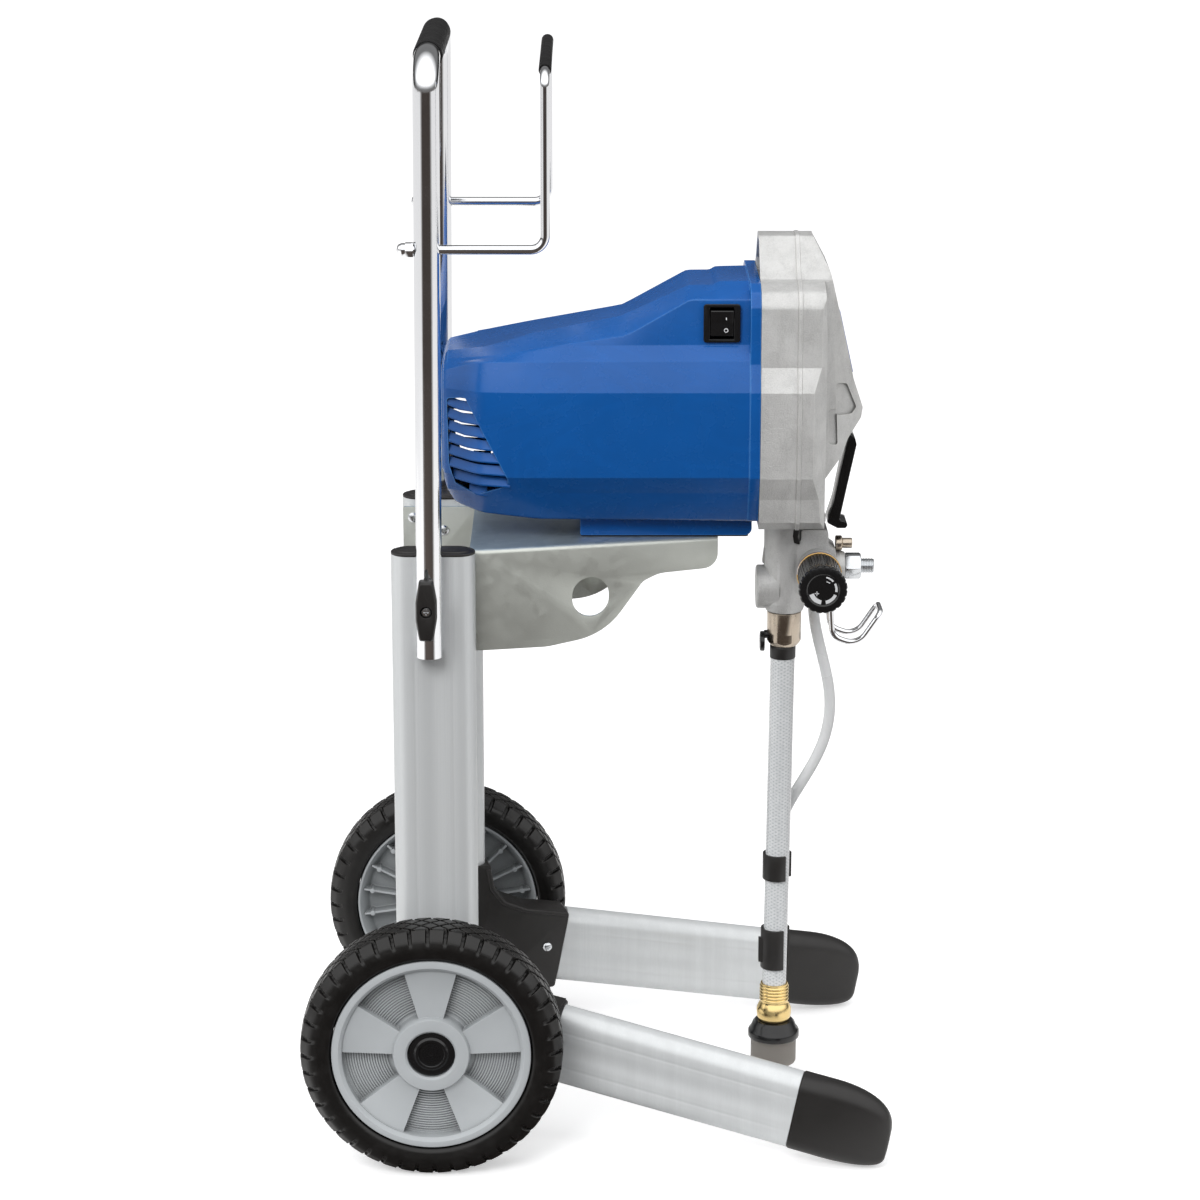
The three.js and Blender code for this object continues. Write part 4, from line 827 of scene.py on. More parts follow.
clamp_z = middle("left_clamp_bolt")[2]
clamp_x = middle("left_clamp_bolt")[0]
for word, side in SIDES:
    at = (COLUMN_X, side * COLUMN_Y, 0)
    outward = "y" if side > 0 else "-y"
    make(f"{word}_upright", moved(hollow_bar(*COLUMN_Z), at), UPRIGHT, "frame",
            [f"{word}_column"],
         cut=[rod(6.7, (0, side * COLUMN_Y - 25, WHEEL_Z), "y", 50),
              rod(3.3, (clamp_x, side * COLUMN_Y, clamp_z), outward, 30, 32)],
         bevel=0.25, segments=1, angle=60)
    top = COLUMN_Z[1]
    tiers = [
        (0.0, top + 0.1), (0.0, top + 1.6), (0.5, top + 2.1), (3.2, top + 2.3), (3.6, top + 2.6),
        (4.4, top + 3.5), (6.5, top + 4.0),
    ]
    rings = []
    for inset, z in tiers:
        rings.append([(u, v, z) for u, v in oval(COLUMN_W - 2 * inset, COLUMN_T - 2 * inset, 18)])
    lid = moved(rings_to_solid(rings), at)
    plug = moved(prism(oval(COLUMN_W - 5.8, COLUMN_T - 5.8, 18), "z", top - 16, top + 1), at)
    make(f"{word}_end_cap", lid, BLACK, "frame", [f"{word}_column_cap"], add=[plug])

LEG_PITCH, LEG_SPLAY = 11.2, 13.35
LEG_LENGTH = 220.0
LEG_START = np.array((108.5, 122.3, 90.9))


def on_leg(solid, side):
    """Points built along X from the leg's start go to their place on the cart."""
    solid = turned_about(solid, "y", LEG_PITCH)
    solid = turned_about(solid, "z", side * LEG_SPLAY)
    return moved(solid, (LEG_START[0], side * LEG_START[1], LEG_START[2]))


def leg_bar(x0, x1):
    points, faces = hollow_bar(x0, x1)
    scale = 28.0 / COLUMN_T
    return np.stack([points[:, 2], points[:, 1] * scale, points[:, 0]], axis=1), faces


def leg_oval(inset, steps=18):
    return [(v, u) for u, v in oval(72.7 - 2 * inset, 28.0 - 2 * inset, steps)]


def foot_solid():
    """Moulded foot: the leg's oval running into a rounded nose that is cut flat at the floor."""
    end = 86.0
    stations = [(0, 1.0, 1.0, 0), (1.2, 1.03, 1.015, 0), (30, 1.04, 1.02, 0)]
    for k in range(1, 15):
        t = k / 14
        a = t * math.pi / 2
        stations.append((30 + (end - 30) * math.sin(a), 1.04 * (0.22 + 0.78 * math.cos(a) ** 0.85),
                         1.02 * (0.20 + 0.80 * math.cos(a) ** 0.62), -9.5 * t ** 2.2))
    rings = []
    for x, wide, tall, drop in stations:
        rings.append([(LEG_LENGTH + x, y * wide, z * tall + drop) for y, z in leg_oval(0, 22)])
    return rings_to_solid(rings)


for word, side in SIDES:
    leg_material = extruded(f"extrusion_{word}_leg", (0, math.radians(-90 - LEG_PITCH), 0))
    make(f"{word}_leg_bar", on_leg(leg_bar(0.3, LEG_LENGTH - 0.3), side), leg_material, "frame",
         [f"{word}_leg"], bevel=0.3, segments=1, angle=60)
    plug = on_leg(prism(leg_oval(2.8), "x", LEG_LENGTH - 24, LEG_LENGTH + 4), side)
    make(f"{word}_foot_moulding", on_leg(foot_solid(), side), BLACK, "frame",
            [f"{word}_foot"],
         add=[plug], cut=[block((200, -400, -60), (600, 400, 0))], bevel=0.6, angle=50, smooth=45)

PIVOT_X = 30.0
ARM_FACE = 14.2
for word, side in SIDES:
    reach = (LEG_START[0] - PIVOT_X) / math.cos(math.radians(LEG_SPLAY))
    # side outline of the bracket's arm, in the leg's splayed plane
    web = fillet([(-6, 46), (reach - 7.7, 52), (reach + 7, 126), (46, 133), (24, 143), (14, 158), (11.5, 180),
            (-6, 180)],
                 [0, 3, 3, 20, 24, 16, 2, 0], 6)
    arm = prism(web, "y", -14, 14)
    rim_path = bend_path([(9.5, 0, 176), (13, 0, 156), (24, 0, 141), (46, 0, 131.5), (reach + 4, 0, 124.8)],
                         10)
    rim = rings_to_solid(sweep(rim_path,
                               fillet([(-16.4, -2.2), (16.4, -2.2), (16.4, 2.2), (-16.4, 2.2)], 1.6, 4)))
    to_place = lambda solid: moved(turned_about(solid, "z", side * LEG_SPLAY), (PIVOT_X, side * COLUMN_Y, 0))
    foot_of_column = (COLUMN_X, side * COLUMN_Y, 0)
    column_room = moved(prism(oval(COLUMN_W + 0.6, COLUMN_T + 0.6, 24), "z", COLUMN_Z[0] - 0.3, 600),
                        foot_of_column)
    behind = block((-60, side * COLUMN_Y - 40, 0), (PIVOT_X, side * COLUMN_Y + 40, 300))
    shelf = moved(prism(oval(COLUMN_W, COLUMN_T, 24), "z", 46, COLUMN_Z[0] - 0.3), foot_of_column)
    spigot = moved(prism(oval(COLUMN_W - 5.6, COLUMN_T - 5.6, 24), "z", 45, 150), foot_of_column)
    tenon = on_leg(prism(leg_oval(2.8), "x", -6, 32), side)
    piece = raw_object(f"{word}_corner_moulding", to_place(arm))
    axle_hole = rod(6.5, (0, side * COLUMN_Y - 30, WHEEL_Z), "y", 60)
    for solid, operation in ((to_place(rim), "UNION"), (column_room, "DIFFERENCE"), (behind, "DIFFERENCE"),
                             (shelf, "UNION"), (spigot, "UNION"), (tenon, "UNION"),
                             (axle_hole, "DIFFERENCE")):
        boolean(piece, solid, operation)
    soften(piece, 0.8, 2, 38)
    dress(piece, BLACK, "frame", [f"{word}_corner_bracket"], 36)
    head = lathe([(0, 2.3), (2.4, 2.2), (4.0, 1.4), (4.7, 0.3), (4.7, 0), (0, 0)], "z", sides=48)
    arms = [block((-2.2, -0.45, 1.2), (2.2, 0.45, 3)), block((-0.45, -2.2, 1.2), (0.45, 2.2, 3))]
    to_screw = lambda solid: to_place(moved(turned_about(solid, "x", side * 90), (66, -side * ARM_FACE, 93)))
    make(f"{word}_cross_screw", to_screw(head), BOLT, "frame", [f"{word}_corner_screw"],
         cut=[to_screw(a) for a in arms], bevel=0.12, segments=1)

# ---- Platform bracket -------------------------------------------------------------------------------

PLATE_TOP = high("platform_bracket")[2]
PLATE_X1 = high("platform_bracket")[0]
REAR_Y = high("platform_bracket")[1]
FRONT_Y = 42.0
SHEET = 2.5


def plate_half(x):
    return REAR_Y - max(0.0, (x - 45) / (PLATE_X1 - 45)) * (REAR_Y - FRONT_Y)


def channel():
    rings = []
    for x in (-34.0, 45.0, PLATE_X1 + 0.5):
        half = plate_half(x)
        outer = fillet([(-half, 430), (-half, PLATE_TOP), (half, PLATE_TOP), (half, 430)], [0, 4.5, 4.5, 0],
                       8, False)
        inner = fillet([(half - SHEET, 430), (half - SHEET, PLATE_TOP - SHEET),
                (-half + SHEET, PLATE_TOP - SHEET), (-half + SHEET, 430)],
                       [0, 2, 2, 0], 8, False)
        rings.append([(x, y, z) for y, z in outer + inner])
    return rings_to_solid(rings)


flange = fillet([(-33, 530), (-33, 444.5), (100, 443.8), (150, 452), (184, 498), (198, 504.5), (250, 507),
        (250, PLATE_TOP + 1), (33, PLATE_TOP + 1), (33, 530)],
                [2, 3, 60, 60, 14, 30, 13, 0, 2, 0], 10)
hole = [(138 + x, 486.8 + z) for x, z in [(v, u) for u, v in oval(35.5, 32, 20)]]
make("platform_plate", channel(), ZINC, "frame", ["platform_bracket"],
     keep=[prism(flange, "y", -120, 120)],
     cut=[block((-60, -(REAR_Y - SHEET - 0.5), PLATE_TOP - 40), (33, REAR_Y - SHEET - 0.5, 600)),
          prism(hole, "y", -120, 120)],
     bevel=0.35, segments=2, angle=40)
for word, side in SIDES:
    for n, (x, z) in enumerate(((-24, 520), (4, 508))):
        head = lathe([(0, 2.2), (3, 2.0), (4.6, 1.0), (4.8, 0), (0, 0)], "y" if side < 0 else "-y", (0, 0, 0),
                     40)
        place = (x, side * (REAR_Y - SHEET - 0.2) , z)
        make(f"{word}_plate_screw_{n}", moved(head, place), BOLT, "frame", bevel=0)

# ---- Handle, rack and clamps ------------------------------------------------------------------------

TUBE_TOP = middle("handle_grip")[2]
TUBE_TOP_X = middle("handle_grip")[0]
TUBE_R = 11.1
TUBE_Y = high("handle_tube")[1] - TUBE_R
TUBE_BOTTOM = low("handle_tube")[2]
TUBE_X = TUBE_TOP_X - 3
tube_path = bend_path([(TUBE_X, -TUBE_Y, TUBE_BOTTOM), (TUBE_TOP_X, -TUBE_Y, TUBE_TOP),
        (TUBE_TOP_X, TUBE_Y, TUBE_TOP), (TUBE_X, TUBE_Y, TUBE_BOTTOM)],
                      26, 14)
rack_z = middle("left_rack_nut")[2]
drill = []
for _, side in SIDES:
    drill.append(rod(4.3, (TUBE_X - 20, side * TUBE_Y, rack_z), "x", 40, 32))
    half = [(0, clamp_z - 24), (2.4, clamp_z - 23), (3.4, clamp_z - 20.6), (3.4, clamp_z + 19),
            (1.9, clamp_z + 26), (1.5, clamp_z + 33), (0, clamp_z + 35)]
    slot = fillet([(clamp_x + x, z) for x, z in half + [(-x, z) for x, z in half[-2:0:-1]]], 1.2, 3)
    drill.append(prism(slot, "y", side * TUBE_Y - 20, side * TUBE_Y + 20))
make("handle_bow", pipe(tube_path, TUBE_R, 9.5, 56), CHROME, "handle", ["handle_tube"], cut=drill)

grip = high("handle_grip")[1]
profile = [(11.4, -grip), (12.5, -grip + 0.4)]
for y in np.arange(-grip + 3, grip - 3, 3.0):
    profile += [(12.5, y), (12.5, y + 2.2), (12.2, y + 2.45), (12.2, y + 2.75)]
profile += [(12.5, grip - 0.4), (11.4, grip)]
make("handle_sleeve", lathe(profile, "y", (TUBE_TOP_X, 0, TUBE_TOP), 64, ring=True), GRIP, "handle",
     ["handle_grip"])

rack_x = high("hose_rack")[0] - 4
rack_top = high("hose_rack")[2] - 4
rack_end = low("hose_rack")[0]
rack_path = bend_path([(rack_end, -TUBE_Y, rack_z), (rack_x, -TUBE_Y, rack_z), (rack_x, -TUBE_Y, rack_top),
        (rack_x, TUBE_Y, rack_top), (rack_x, TUBE_Y, rack_z), (rack_end, TUBE_Y, rack_z)],
                      12, 10)
make("hose_rack_rod", wire(rack_path, 4, 28), CHROME, "handle", ["hose_rack"])
sleeve = high("hose_rack_sleeve")[1]
make("rack_sleeve", lathe(fillet([(4.2, -sleeve), (5.3, -sleeve), (5.3, sleeve), (4.2, sleeve)], 0.4, 2), "y",
        (rack_x, 0, rack_top), 40, ring=True),
     GRIP, "handle", ["hose_rack_sleeve"])

for word, side in SIDES:
    lo, hi = low(f"{word}_rack_nut"), high(f"{word}_rack_nut")
    hexagon = [(side * TUBE_Y + 6.6 * math.cos(math.radians(60 * k)),
                rack_z + 6.6 * math.sin(math.radians(60 * k))) for k in range(6)]
    dome = lathe(fillet([(0, 0), (5.6, 0), (5.6, 5), (4.2, 8.2), (0, 9.5)], [0, 0, 2, 3, 0], 4, False), "-x",
                 (hi[0] - 4.6, side * TUBE_Y, rack_z), 40)
    make(f"{word}_acorn_nut", prism(hexagon, "x", hi[0] - 6.5, hi[0]), CHROME, "handle",
            [f"{word}_rack_nut"],
         add=[dome], cut=[rod(4.25, (hi[0] + 1, side * TUBE_Y, rack_z), "-x", 9, 32)], bevel=0.4)

    lo, hi = low(f"{word}_clamp_knob"), high(f"{word}_clamp_knob")
    outward, inward = ("y", "-y") if side > 0 else ("-y", "y")
    inner, outer = (lo[1], hi[1])[::side]
    wing = fillet([(-6, 26), (6, 26), (9, 8), (9, -8), (6, -26), (-6, -26), (-9, -8), (-9, 8)],
                  [2.5, 2.5, 8, 8, 2.5, 2.5, 8, 8], 5)
    wing = [(clamp_x + x, clamp_z + z) for x, z in wing]
    small = [(clamp_x + (x - clamp_x) * 0.86, clamp_z + (z - clamp_z) * 0.94) for x, z in wing]
    rings = []
    for outline, y in ((small, inner), (wing, inner + side * 2), (wing, outer - side * 2.6), (small, outer)):
        rings.append([(x, y, z) for x, z in outline])
    make(f"{word}_clamp_wing", rings_to_solid(rings), BLACK, f"{word}_clamp",
            [f"{word}_clamp_knob"],
         cut=[rod(5.3, (clamp_x, outer + side, clamp_z), inward, 5, 40),
              rod(3.5, (clamp_x, inner - side, clamp_z), outward, 20, 32)],
         bevel=0.9, segments=3, angle=35)
    b_in, b_out = (low(f"{word}_clamp_bolt")[1], high(f"{word}_clamp_bolt")[1])[::side]
    long = abs(b_out - b_in)
    shank = lathe([(0, 0), (8.3, 0), (8.5, 0.3), (8.5, 2.9), (3, 3), (3, long - 3.4), (4.5, long - 3.4),
            (4.7, long - 3), (4.6, long - 1.6), (3.4, long - 0.4), (0, long)],
                  outward, (clamp_x, b_in, clamp_z), 40)
    near, far = sorted((b_out - side * 1.3, b_out + side))
    cross = [block((clamp_x - u, near, clamp_z - v), (clamp_x + u, far, clamp_z + v)) for u,
             v in ((2.3, 0.45), (0.45, 2.3))]
    make(f"{word}_clamp_screw", shank, BOLT, f"{word}_clamp", [f"{word}_clamp_bolt"], cut=cross)

# ---- Motor shroud -----------------------------------------------------------------------------------

BODY_HALF = 86.0
JOINT_X = low("drive_housing")[0]
ROOF = [[9, 692], [14, 698.5], [48, 704.4], [87, 713.9], [166, 728.9], [222.5, 757.7], [244, 757.9],
        [247, 760.9], [284, 761.7]]
ROOF_HALF = [[9, 36], [48, 41.5], [87, 30.5], [168, 26], [223, 37.5], [284, 38]]
RIDGE = [[9, 690], [14, 694.5], [48, 700], [115, 711], [169, 719], [223, 750], [284, 749.8]]
RIDGE_HALF = [[9, 58], [48, 64], [115, 66], [284, 66]]
SILL = [[9, 688], [14, 692], [48, 698.8], [115, 710], [284, 710.5]]
SHOULDER = [[9, 684], [14, 688], [40, 697.5], [284, 698.7]]
BELLY = [[9, 594], [14, 578], [20, 568], [42, 560.5], [94, 555], [284, 553]]
TAPER = [[9, 0.72], [14, 0.78], [44, 0.96], [78, 1], [284, 1]]


def along(knots, x, blur=2.2):
    """Value on the line through the knots, with the bends softened."""
    knots = np.array(knots, float)
    spread = np.linspace(-blur, blur, 9)
    if x < 16 or x > 280:
        spread = spread * 0.2
    return float(np.mean(np.interp(x + spread, knots[:, 0], knots[:, 1])))


def shroud_ring(x, inset=0.0):
    taper = along(TAPER, x)
    belly = along(BELLY, x)
    half = [
        (along(ROOF_HALF, x), along(ROOF, x)), (along(RIDGE_HALF, x), along(RIDGE, x)),
        (67.5, along(SILL, x)), (78, along(SHOULDER, x)), (BODY_HALF, 672.5), (
                BODY_HALF, max(598, belly + 6)),
        (76, max(582, belly + 3)), (62, belly),
    ]
    half = [(y * taper, z) for y, z in half]
    outline = half + [(-y, z) for y, z in half[::-1]]
    radii = [5, 1.8, 1.8, 1.6, 1.6, 1.6, 2.5, 5]
    outline = fillet(outline, radii + radii[::-1], 3)
    if inset:
        mid = 640.0
        outline = [(y * (1 - inset / 74), mid + (z - mid) * (1 - inset / 66)) for y, z in outline]
    return [(x, y, z) for y, z in outline]


def shroud_skin():
    xs = [9.0]
    rings = [[(9.0, y, z) for _, y, z in shroud_ring(9.0, 3.5)]]
    rings.append([(9.35, y, z) for _, y, z in shroud_ring(9.0, 1.6)])
    rings.append([(10.4, y, z) for _, y, z in shroud_ring(9.0, 0.45)])
    stations = [11.2, 12.6, 14, 16.5, 20, 25, 30, 38, 46]
    stations += [float(v) for v in np.arange(54, 240, 8)] + [
            214, 218, 222, 226, 241.5, 243.2, 244.4, 245.5, 246.6, 248, 252, 262, 272, JOINT_X - 0.3]
    for x in sorted(set(stations)):
        rings.append(shroud_ring(x))
    return rings


WINDOW = [(14.2, 664), (30, 666.3), (66.5, 596), (66, 589), (39, 579.5), (21, 589), (15.5, 606)]


def shell():
    """Open-fronted skin, thickened inwards."""
    rings = shroud_skin()
    n = len(rings[0])
    points, faces = rings_to_solid(rings, caps=False)
    faces.append(tuple(range(n))[::-1])
    obj = raw_object("motor_cowl", (points, faces))
    m = obj.modifiers.new("wall", "SOLIDIFY")
    m.thickness, m.offset = 3 * MM, -1
    m.use_even_offset = False
    settle(obj)
    return obj


cowl = shell()
collar_half = [(13, 770), (38, 763.5), (58, 762.6), (72, 757), (79, 745), (79.6, 696), (87.2, 672.5),
               (87.2, 597.5), (78.5, 580), (64, 553.6)]
collar_outline = fillet([(y, z) for y, z in collar_half] + [(-y, z) for y, z in collar_half[::-1]],
                        [0, 4, 4, 6, 4, 3, 3, 3, 4, 4, 4, 4, 3, 3, 3, 4, 6, 4, 4, 0], 4)
inner_half = [(13, 757), (60, 756), (73, 742), (73.5, 696), (81.5, 672), (81.5, 600), (74, 586), (60, 558)]
collar_hole = fillet(inner_half + [(-y, z) for y, z in inner_half[::-1]], 3, 3)
collar = raw_object("collar", prism(collar_outline, "x", JOINT_X - 9.3, JOINT_X - 0.3))
boolean(collar, prism(collar_hole, "x", JOINT_X - 20, JOINT_X + 5), "DIFFERENCE")
boolean(collar, block((200, -100, 500), (300, 100, 763)), "INTERSECT")
soften(collar, 0.9, 2, 40)
fuse(cowl, collar, "UNION")
for _, side in SIDES:
    boolean(cowl, prism(fillet(WINDOW, 2, 4), "y", min(side * 40, side * 100), max(side * 40, side * 100)),
            "DIFFERENCE")
nudge = np.array((-2.2, 0, 2.0))
sw = middle("switch_bezel") + nudge
sw_lo, sw_hi = low("switch_bezel") + nudge, high("switch_bezel") + nudge
boolean(cowl, block((sw[0] - 13.4, -100, sw[2] - 15.4), (sw[0] + 13.4, -45, sw[2] + 15.4)), "DIFFERENCE")
dress(cowl, BLUE, "frame", ["motor_shroud"], 24)


def side_y(x, z):
    """Distance of the shroud's side from the middle at a height."""
    ring = sorted(((p[2], p[1]) for p in shroud_ring(x) if p[1] > 20), key=lambda p: p[0])
    return float(np.interp(z, [p[0] for p in ring], [p[1] for p in ring]))


def window_span(z):
    """Rear and front X of the vent window at a height."""
    xs = []
    n = len(WINDOW)
    for i in range(n):
        (x0, z0), (x1, z1) = WINDOW[i], WINDOW[(i + 1) % n]
        if (z0 - z) * (z1 - z) < 0:
            xs.append(x0 + (x1 - x0) * (z - z0) / (z1 - z0))
    return (min(xs), max(xs)) if len(xs) > 1 else None


def slats(side):
    out = []
    pitch = 10.9
    for k in range(8):
        z = 656.5 - k * pitch
        span = window_span(max(582, min(662, z)))
        if span is None:
            continue
        x0, x1 = span[0] - 1.5, span[1] + 2.2
        rings = []
        for x in np.linspace(x0, x1, 12):
            crease = 26 + (650 - z) * 0.22
            droop = 5.0 * max(0, (crease - x) / (crease - 10)) if x < crease else -2.2 * (x - crease) / 40
            base = side_y(max(x, 11.5), z)
            top, bottom = z + 6.0 + droop, z - 0.8 + droop
            ring = [(base - 5.4, top), (base - 3.9, top + 0.6), (base - 0.2, bottom + 0.5),
                    (base - 0.5, bottom - 0.8), (base - 1.8, bottom - 0.9)]
            rings.append([(x, side * y, zz) for y, zz in ring])
        out.append(rings_to_solid(rings))
    return merged(*out)


for word, side in SIDES:
    make(f"{word}_vent_slats", slats(side), VENT, "frame", bevel=0)

lo, hi = low("shroud_base"), high("shroud_base")
base_outline = fillet([(lo[0], hi[2] + 3.5), (lo[0], lo[2] + 0.9), (hi[0], lo[2] + 0.9),
        (hi[0], hi[2] + 3.5)],
                      [0, 1.5, 6, 0], 6)
make("cowl_base", prism(base_outline, "y", lo[1], hi[1]), BLUE, "frame", ["shroud_base"],
     cut=[block((lo[0] + 4, lo[1] + 4, lo[2] - 5), (hi[0] - 4, hi[1] - 4, hi[2] - 3))], bevel=1.2, segments=3)
gasket = fillet([(lo[0] + 0.4, lo[1] + 0.4), (hi[0] - 3, lo[1] + 0.4), (hi[0] - 3, hi[1] - 0.4),
        (lo[0] + 0.4, hi[1] - 0.4)],
                3, 4)
make("base_gasket", prism(gasket, "z", lo[2] - 0.1, lo[2] + 0.9), GRIP, "frame",
     cut=[block((lo[0] + 5, lo[1] + 5, lo[2] - 5), (hi[0] - 8, hi[1] - 5, lo[2] + 5))])
underside = fillet([(103, 556), (103, 551.6), (129, 549.8), (129, 556)], 1, 2)
make("underside_pad", prism(underside, "y", -40, 40), BLACK, "frame", bevel=0.5)

# switch
face = sw_lo[1]
bezel = fillet([(sw_lo[0], sw_lo[2]), (sw_hi[0], sw_lo[2]), (sw_hi[0], sw_hi[2]), (sw_lo[0], sw_hi[2])], 2.4,
               5)
make("switch_frame", prism(bezel, "y", face, face + 2.8), GLOSS_BLACK, "frame",
        ["switch_bezel"],
     add=[block((sw[0] - 13, face + 1, sw[2] - 15), (sw[0] + 13, face + 22, sw[2] + 15))],
     cut=[block((sw[0] - 10.4, face - 2, sw[2] - 13.9), (sw[0] + 10.4, face + 19, sw[2] + 13.9))], bevel=1.0,
     segments=3, angle=50)
outline = [(face + 0.7, -11.6), (face + 0.9, 0), (face - 2.6, 11.6), (face + 6, 10.6), (face + 10, 4),
           (face + 10, -4), (face + 6, -10.6)]
make("rocker_key", moved(prism(fillet(outline, [1, 8, 1, 1, 1, 1, 1], 4), "x", sw[0] - 9.8, sw[0] + 9.8),
        (0, 0, sw[2])),
     GLOSS_BLACK, "power_switch", ["switch_rocker"], bevel=0.4)

# generic marks on the rocker: a bar for on, a ring for off
bar_mark = block((sw[0] + 3.2, -0.16, -1.9), (sw[0] + 4.0, 0.25, 1.9))
tilt = math.degrees(math.atan2(3.5, 11.6))
upper = moved(turned_about(bar_mark, "x", -tilt), (0, face - 0.55, sw[2] + 5.0))
ring_mark = lathe([(1.2, -0.16), (1.9, -0.16), (1.9, 0.3), (1.2, 0.3)], "y",
                  (sw[0] + 3.6, face + 0.75, sw[2] - 6.2), 32, ring=True)
make("rocker_marks", merged(upper, ring_mark), WHITE_MARK, "power_switch")

# ---- Cast housing and cover -------------------------------------------------------------------------

COVER_X = low("front_cover")[0]


def cast_outline(inset=0.0, round_by=1.0):
    half = [(13, 796.5), (37, 772), (46, 763.5), (58, 762.5), (72, 757), (79, 745), (79.5, 693), (88, 672.5),
            (88, 597), (80, 577), (78, 556), (72, 548.5)]
    outline = half + [(-y, z) for y, z in half[::-1]]
    radii = [4, 3, 3, 4, 12, 10, 1.6, 1.6, 1.6, 1.2, 1.5, 3]
    outline = fillet(outline, [r * round_by for r in radii + radii[::-1]], 5)
    if inset:
        outline = [(y * (1 - inset / 80), 672 + (z - 672) * (1 - inset / 124)) for y, z in outline]
    return outline


lug_hollow = prism(fillet([(-10, 791.5), (10, 791.5), (31, 770.5), (31, 759), (-31, 759), (-31, 770.5)], 2.5,
        4),
                   "x", JOINT_X - 2, JOINT_X + 16)
make("drive_case", prism(cast_outline(), "x", JOINT_X, COVER_X - 0.15), CAST, "frame",
        ["drive_housing"],
     cut=[prism(cast_outline(4.2), "x", JOINT_X + 4, COVER_X + 5), lug_hollow], bevel=0.5, angle=45)
make("crank_post", rod(7.9, (JOINT_X + 2, 0, middle("drive_gear")[2]), "x", 16, 48, 0.5), CAST, "frame")


def cover_solid(inset):
    """Front cover: the casting's outline run forward, nipped in at the nose, with the long central bulge."""
    rear = COVER_X - (6 if inset else 0)
    w = inset
    frame_side = [(rear, 500), (341.5 - w, 500), (341.5 - w, 700), (339 - w, 762), (331 - w, 796.5 - w),
                  (rear, 799)]
    plan = [(rear, -88.5 + w), (329 - w, -88.5 + w), (341 - w, -73 + w), (341.5 - w, 73 - w),
            (329 - w, 88.5 - w), (rear, 88.5 - w)]
    obj = raw_object("cover", prism(cast_outline(w), "x", rear, 365))
    boolean(obj, prism(plan, "z", 500, 820), "INTERSECT")
    boolean(obj, prism(frame_side, "y", -100, 100), "INTERSECT")
    return obj


def bulge_solid(inset):
    rear, w = COVER_X - (6 if inset else 0), inset
    outline = [(rear, 556 + w), (341 - w, 556 + w), (342.5 - w, 588), (357 - w, 606), (363 - w, 622),
            (374.6 - w, 639), (376 - w, 648),
               (367 - w, 674.5), (357 - w, 719), (351 - w, 744), (345 - w, 769), (331 - w, 796 - w),
               (rear, 796 - w)]
    obj = raw_object("bulge",
                     prism(fillet(outline, [0, 0, 3, 3, 3, 4, 4, 3, 3, 3, 6, 4, 0], 4), "y", -60, 60))
    plan = fillet([(rear, -52 + w), (341, -50 + w), (378, -27 + w), (378, 27 - w), (341, 50 - w),
            (rear, 52 - w)],
                  [0, 3, 3, 3, 3, 0], 4)
    boolean(obj, prism(plan, "z", 500, 820), "INTERSECT")
    boolean(obj, prism(cast_outline(w), "x", rear, 400), "INTERSECT")
    return obj


cover = cover_solid(0)
fuse(cover, bulge_solid(0), "UNION")
hollow = cover_solid(4)
fuse(hollow, bulge_solid(4), "UNION")
fuse(cover, hollow, "DIFFERENCE")


def sunk(outline, side, depth=3.0):
    """Cutter that follows the bulge's slanting side and goes depth into it."""
    flank = lambda x: 50 - (x - 341) * 23 / 37
    return rings_to_solid([[(x, side * (flank(x) - depth), z) for x, z in outline],
                           [(x, side * 80, z) for x, z in outline]])


for _, side in SIDES:
    # relief pockets beside the nose of the bulge
    boolean(cover,
            sunk(fillet([(351, 673), (361, 671), (370, 649), (366, 643.5), (352, 643.5)], 2.5, 4), side),
            "DIFFERENCE")
    boolean(cover, sunk(fillet([(344.5, 650), (352, 650), (353.5, 617), (345.5, 619)], 2, 4), side, 2.2),
            "DIFFERENCE")
soften(cover, 1.1, 3, 30)
cover.name = "gear_cover"
dress(cover, CAST, "frame", ["front_cover"])

# bead along the joint of cover and case
bead_rings = []
grow = lambda outline, d: [(y * (1 + d / 84), 672 + (z - 672) * (1 + d / 124)) for y, z in outline]
shape = cast_outline()
for d, x in ((0.0, 315.6), (0.75, 315.9), (0.75, 318.8), (0.0, 319.4), (-3.0, 319.4), (-3.0, 315.6)):
    bead_rings.append([(x, y, z) for y, z in grow(shape, d)])
make("joint_bead", rings_to_solid(bead_rings, loop=True), CAST, "frame")

badge_line = np.array([(353.8, 732), (366.1, 678)])
badge_rise = np.array([0.975, 0.222])
strip = [tuple(p) for p in (badge_line[0] - badge_rise * 0.5, badge_line[1] - badge_rise * 0.5,
                            badge_line[1] + badge_rise * 1.2, badge_line[0] + badge_rise * 1.2)]
make("blank_badge", prism(strip, "y", -24, 24), BADGE, "frame", bevel=0.5, segments=2)

# latch over the pump
lo, hi = low("pump_door_latch"), high("pump_door_latch")
lever = [(366.5, 620.5), (371, 617), (372.5, 611), (368.2, 590), (364.5, 572), (358.5, 542), (365, 540.5),
         (366, 537.5), (364, 535), (357, 535), (347.5, 540), (353.6, 560), (358.5, 587), (362.6, 606)]
make("latch_lever", prism(fillet(lever, [2, 3, 4, 6, 6, 2, 1.2, 1.2, 1.2, 2, 2, 6, 6, 3], 5), "y", lo[1],
        hi[1]), GLOSS_BLACK, "latch",
     ["pump_door_latch"], cut=[block((369.4, -8, 575), (380, 8, 600))], bevel=1.3, segments=3)

# ---- Pump -------------------------------------------------------------------------------------------

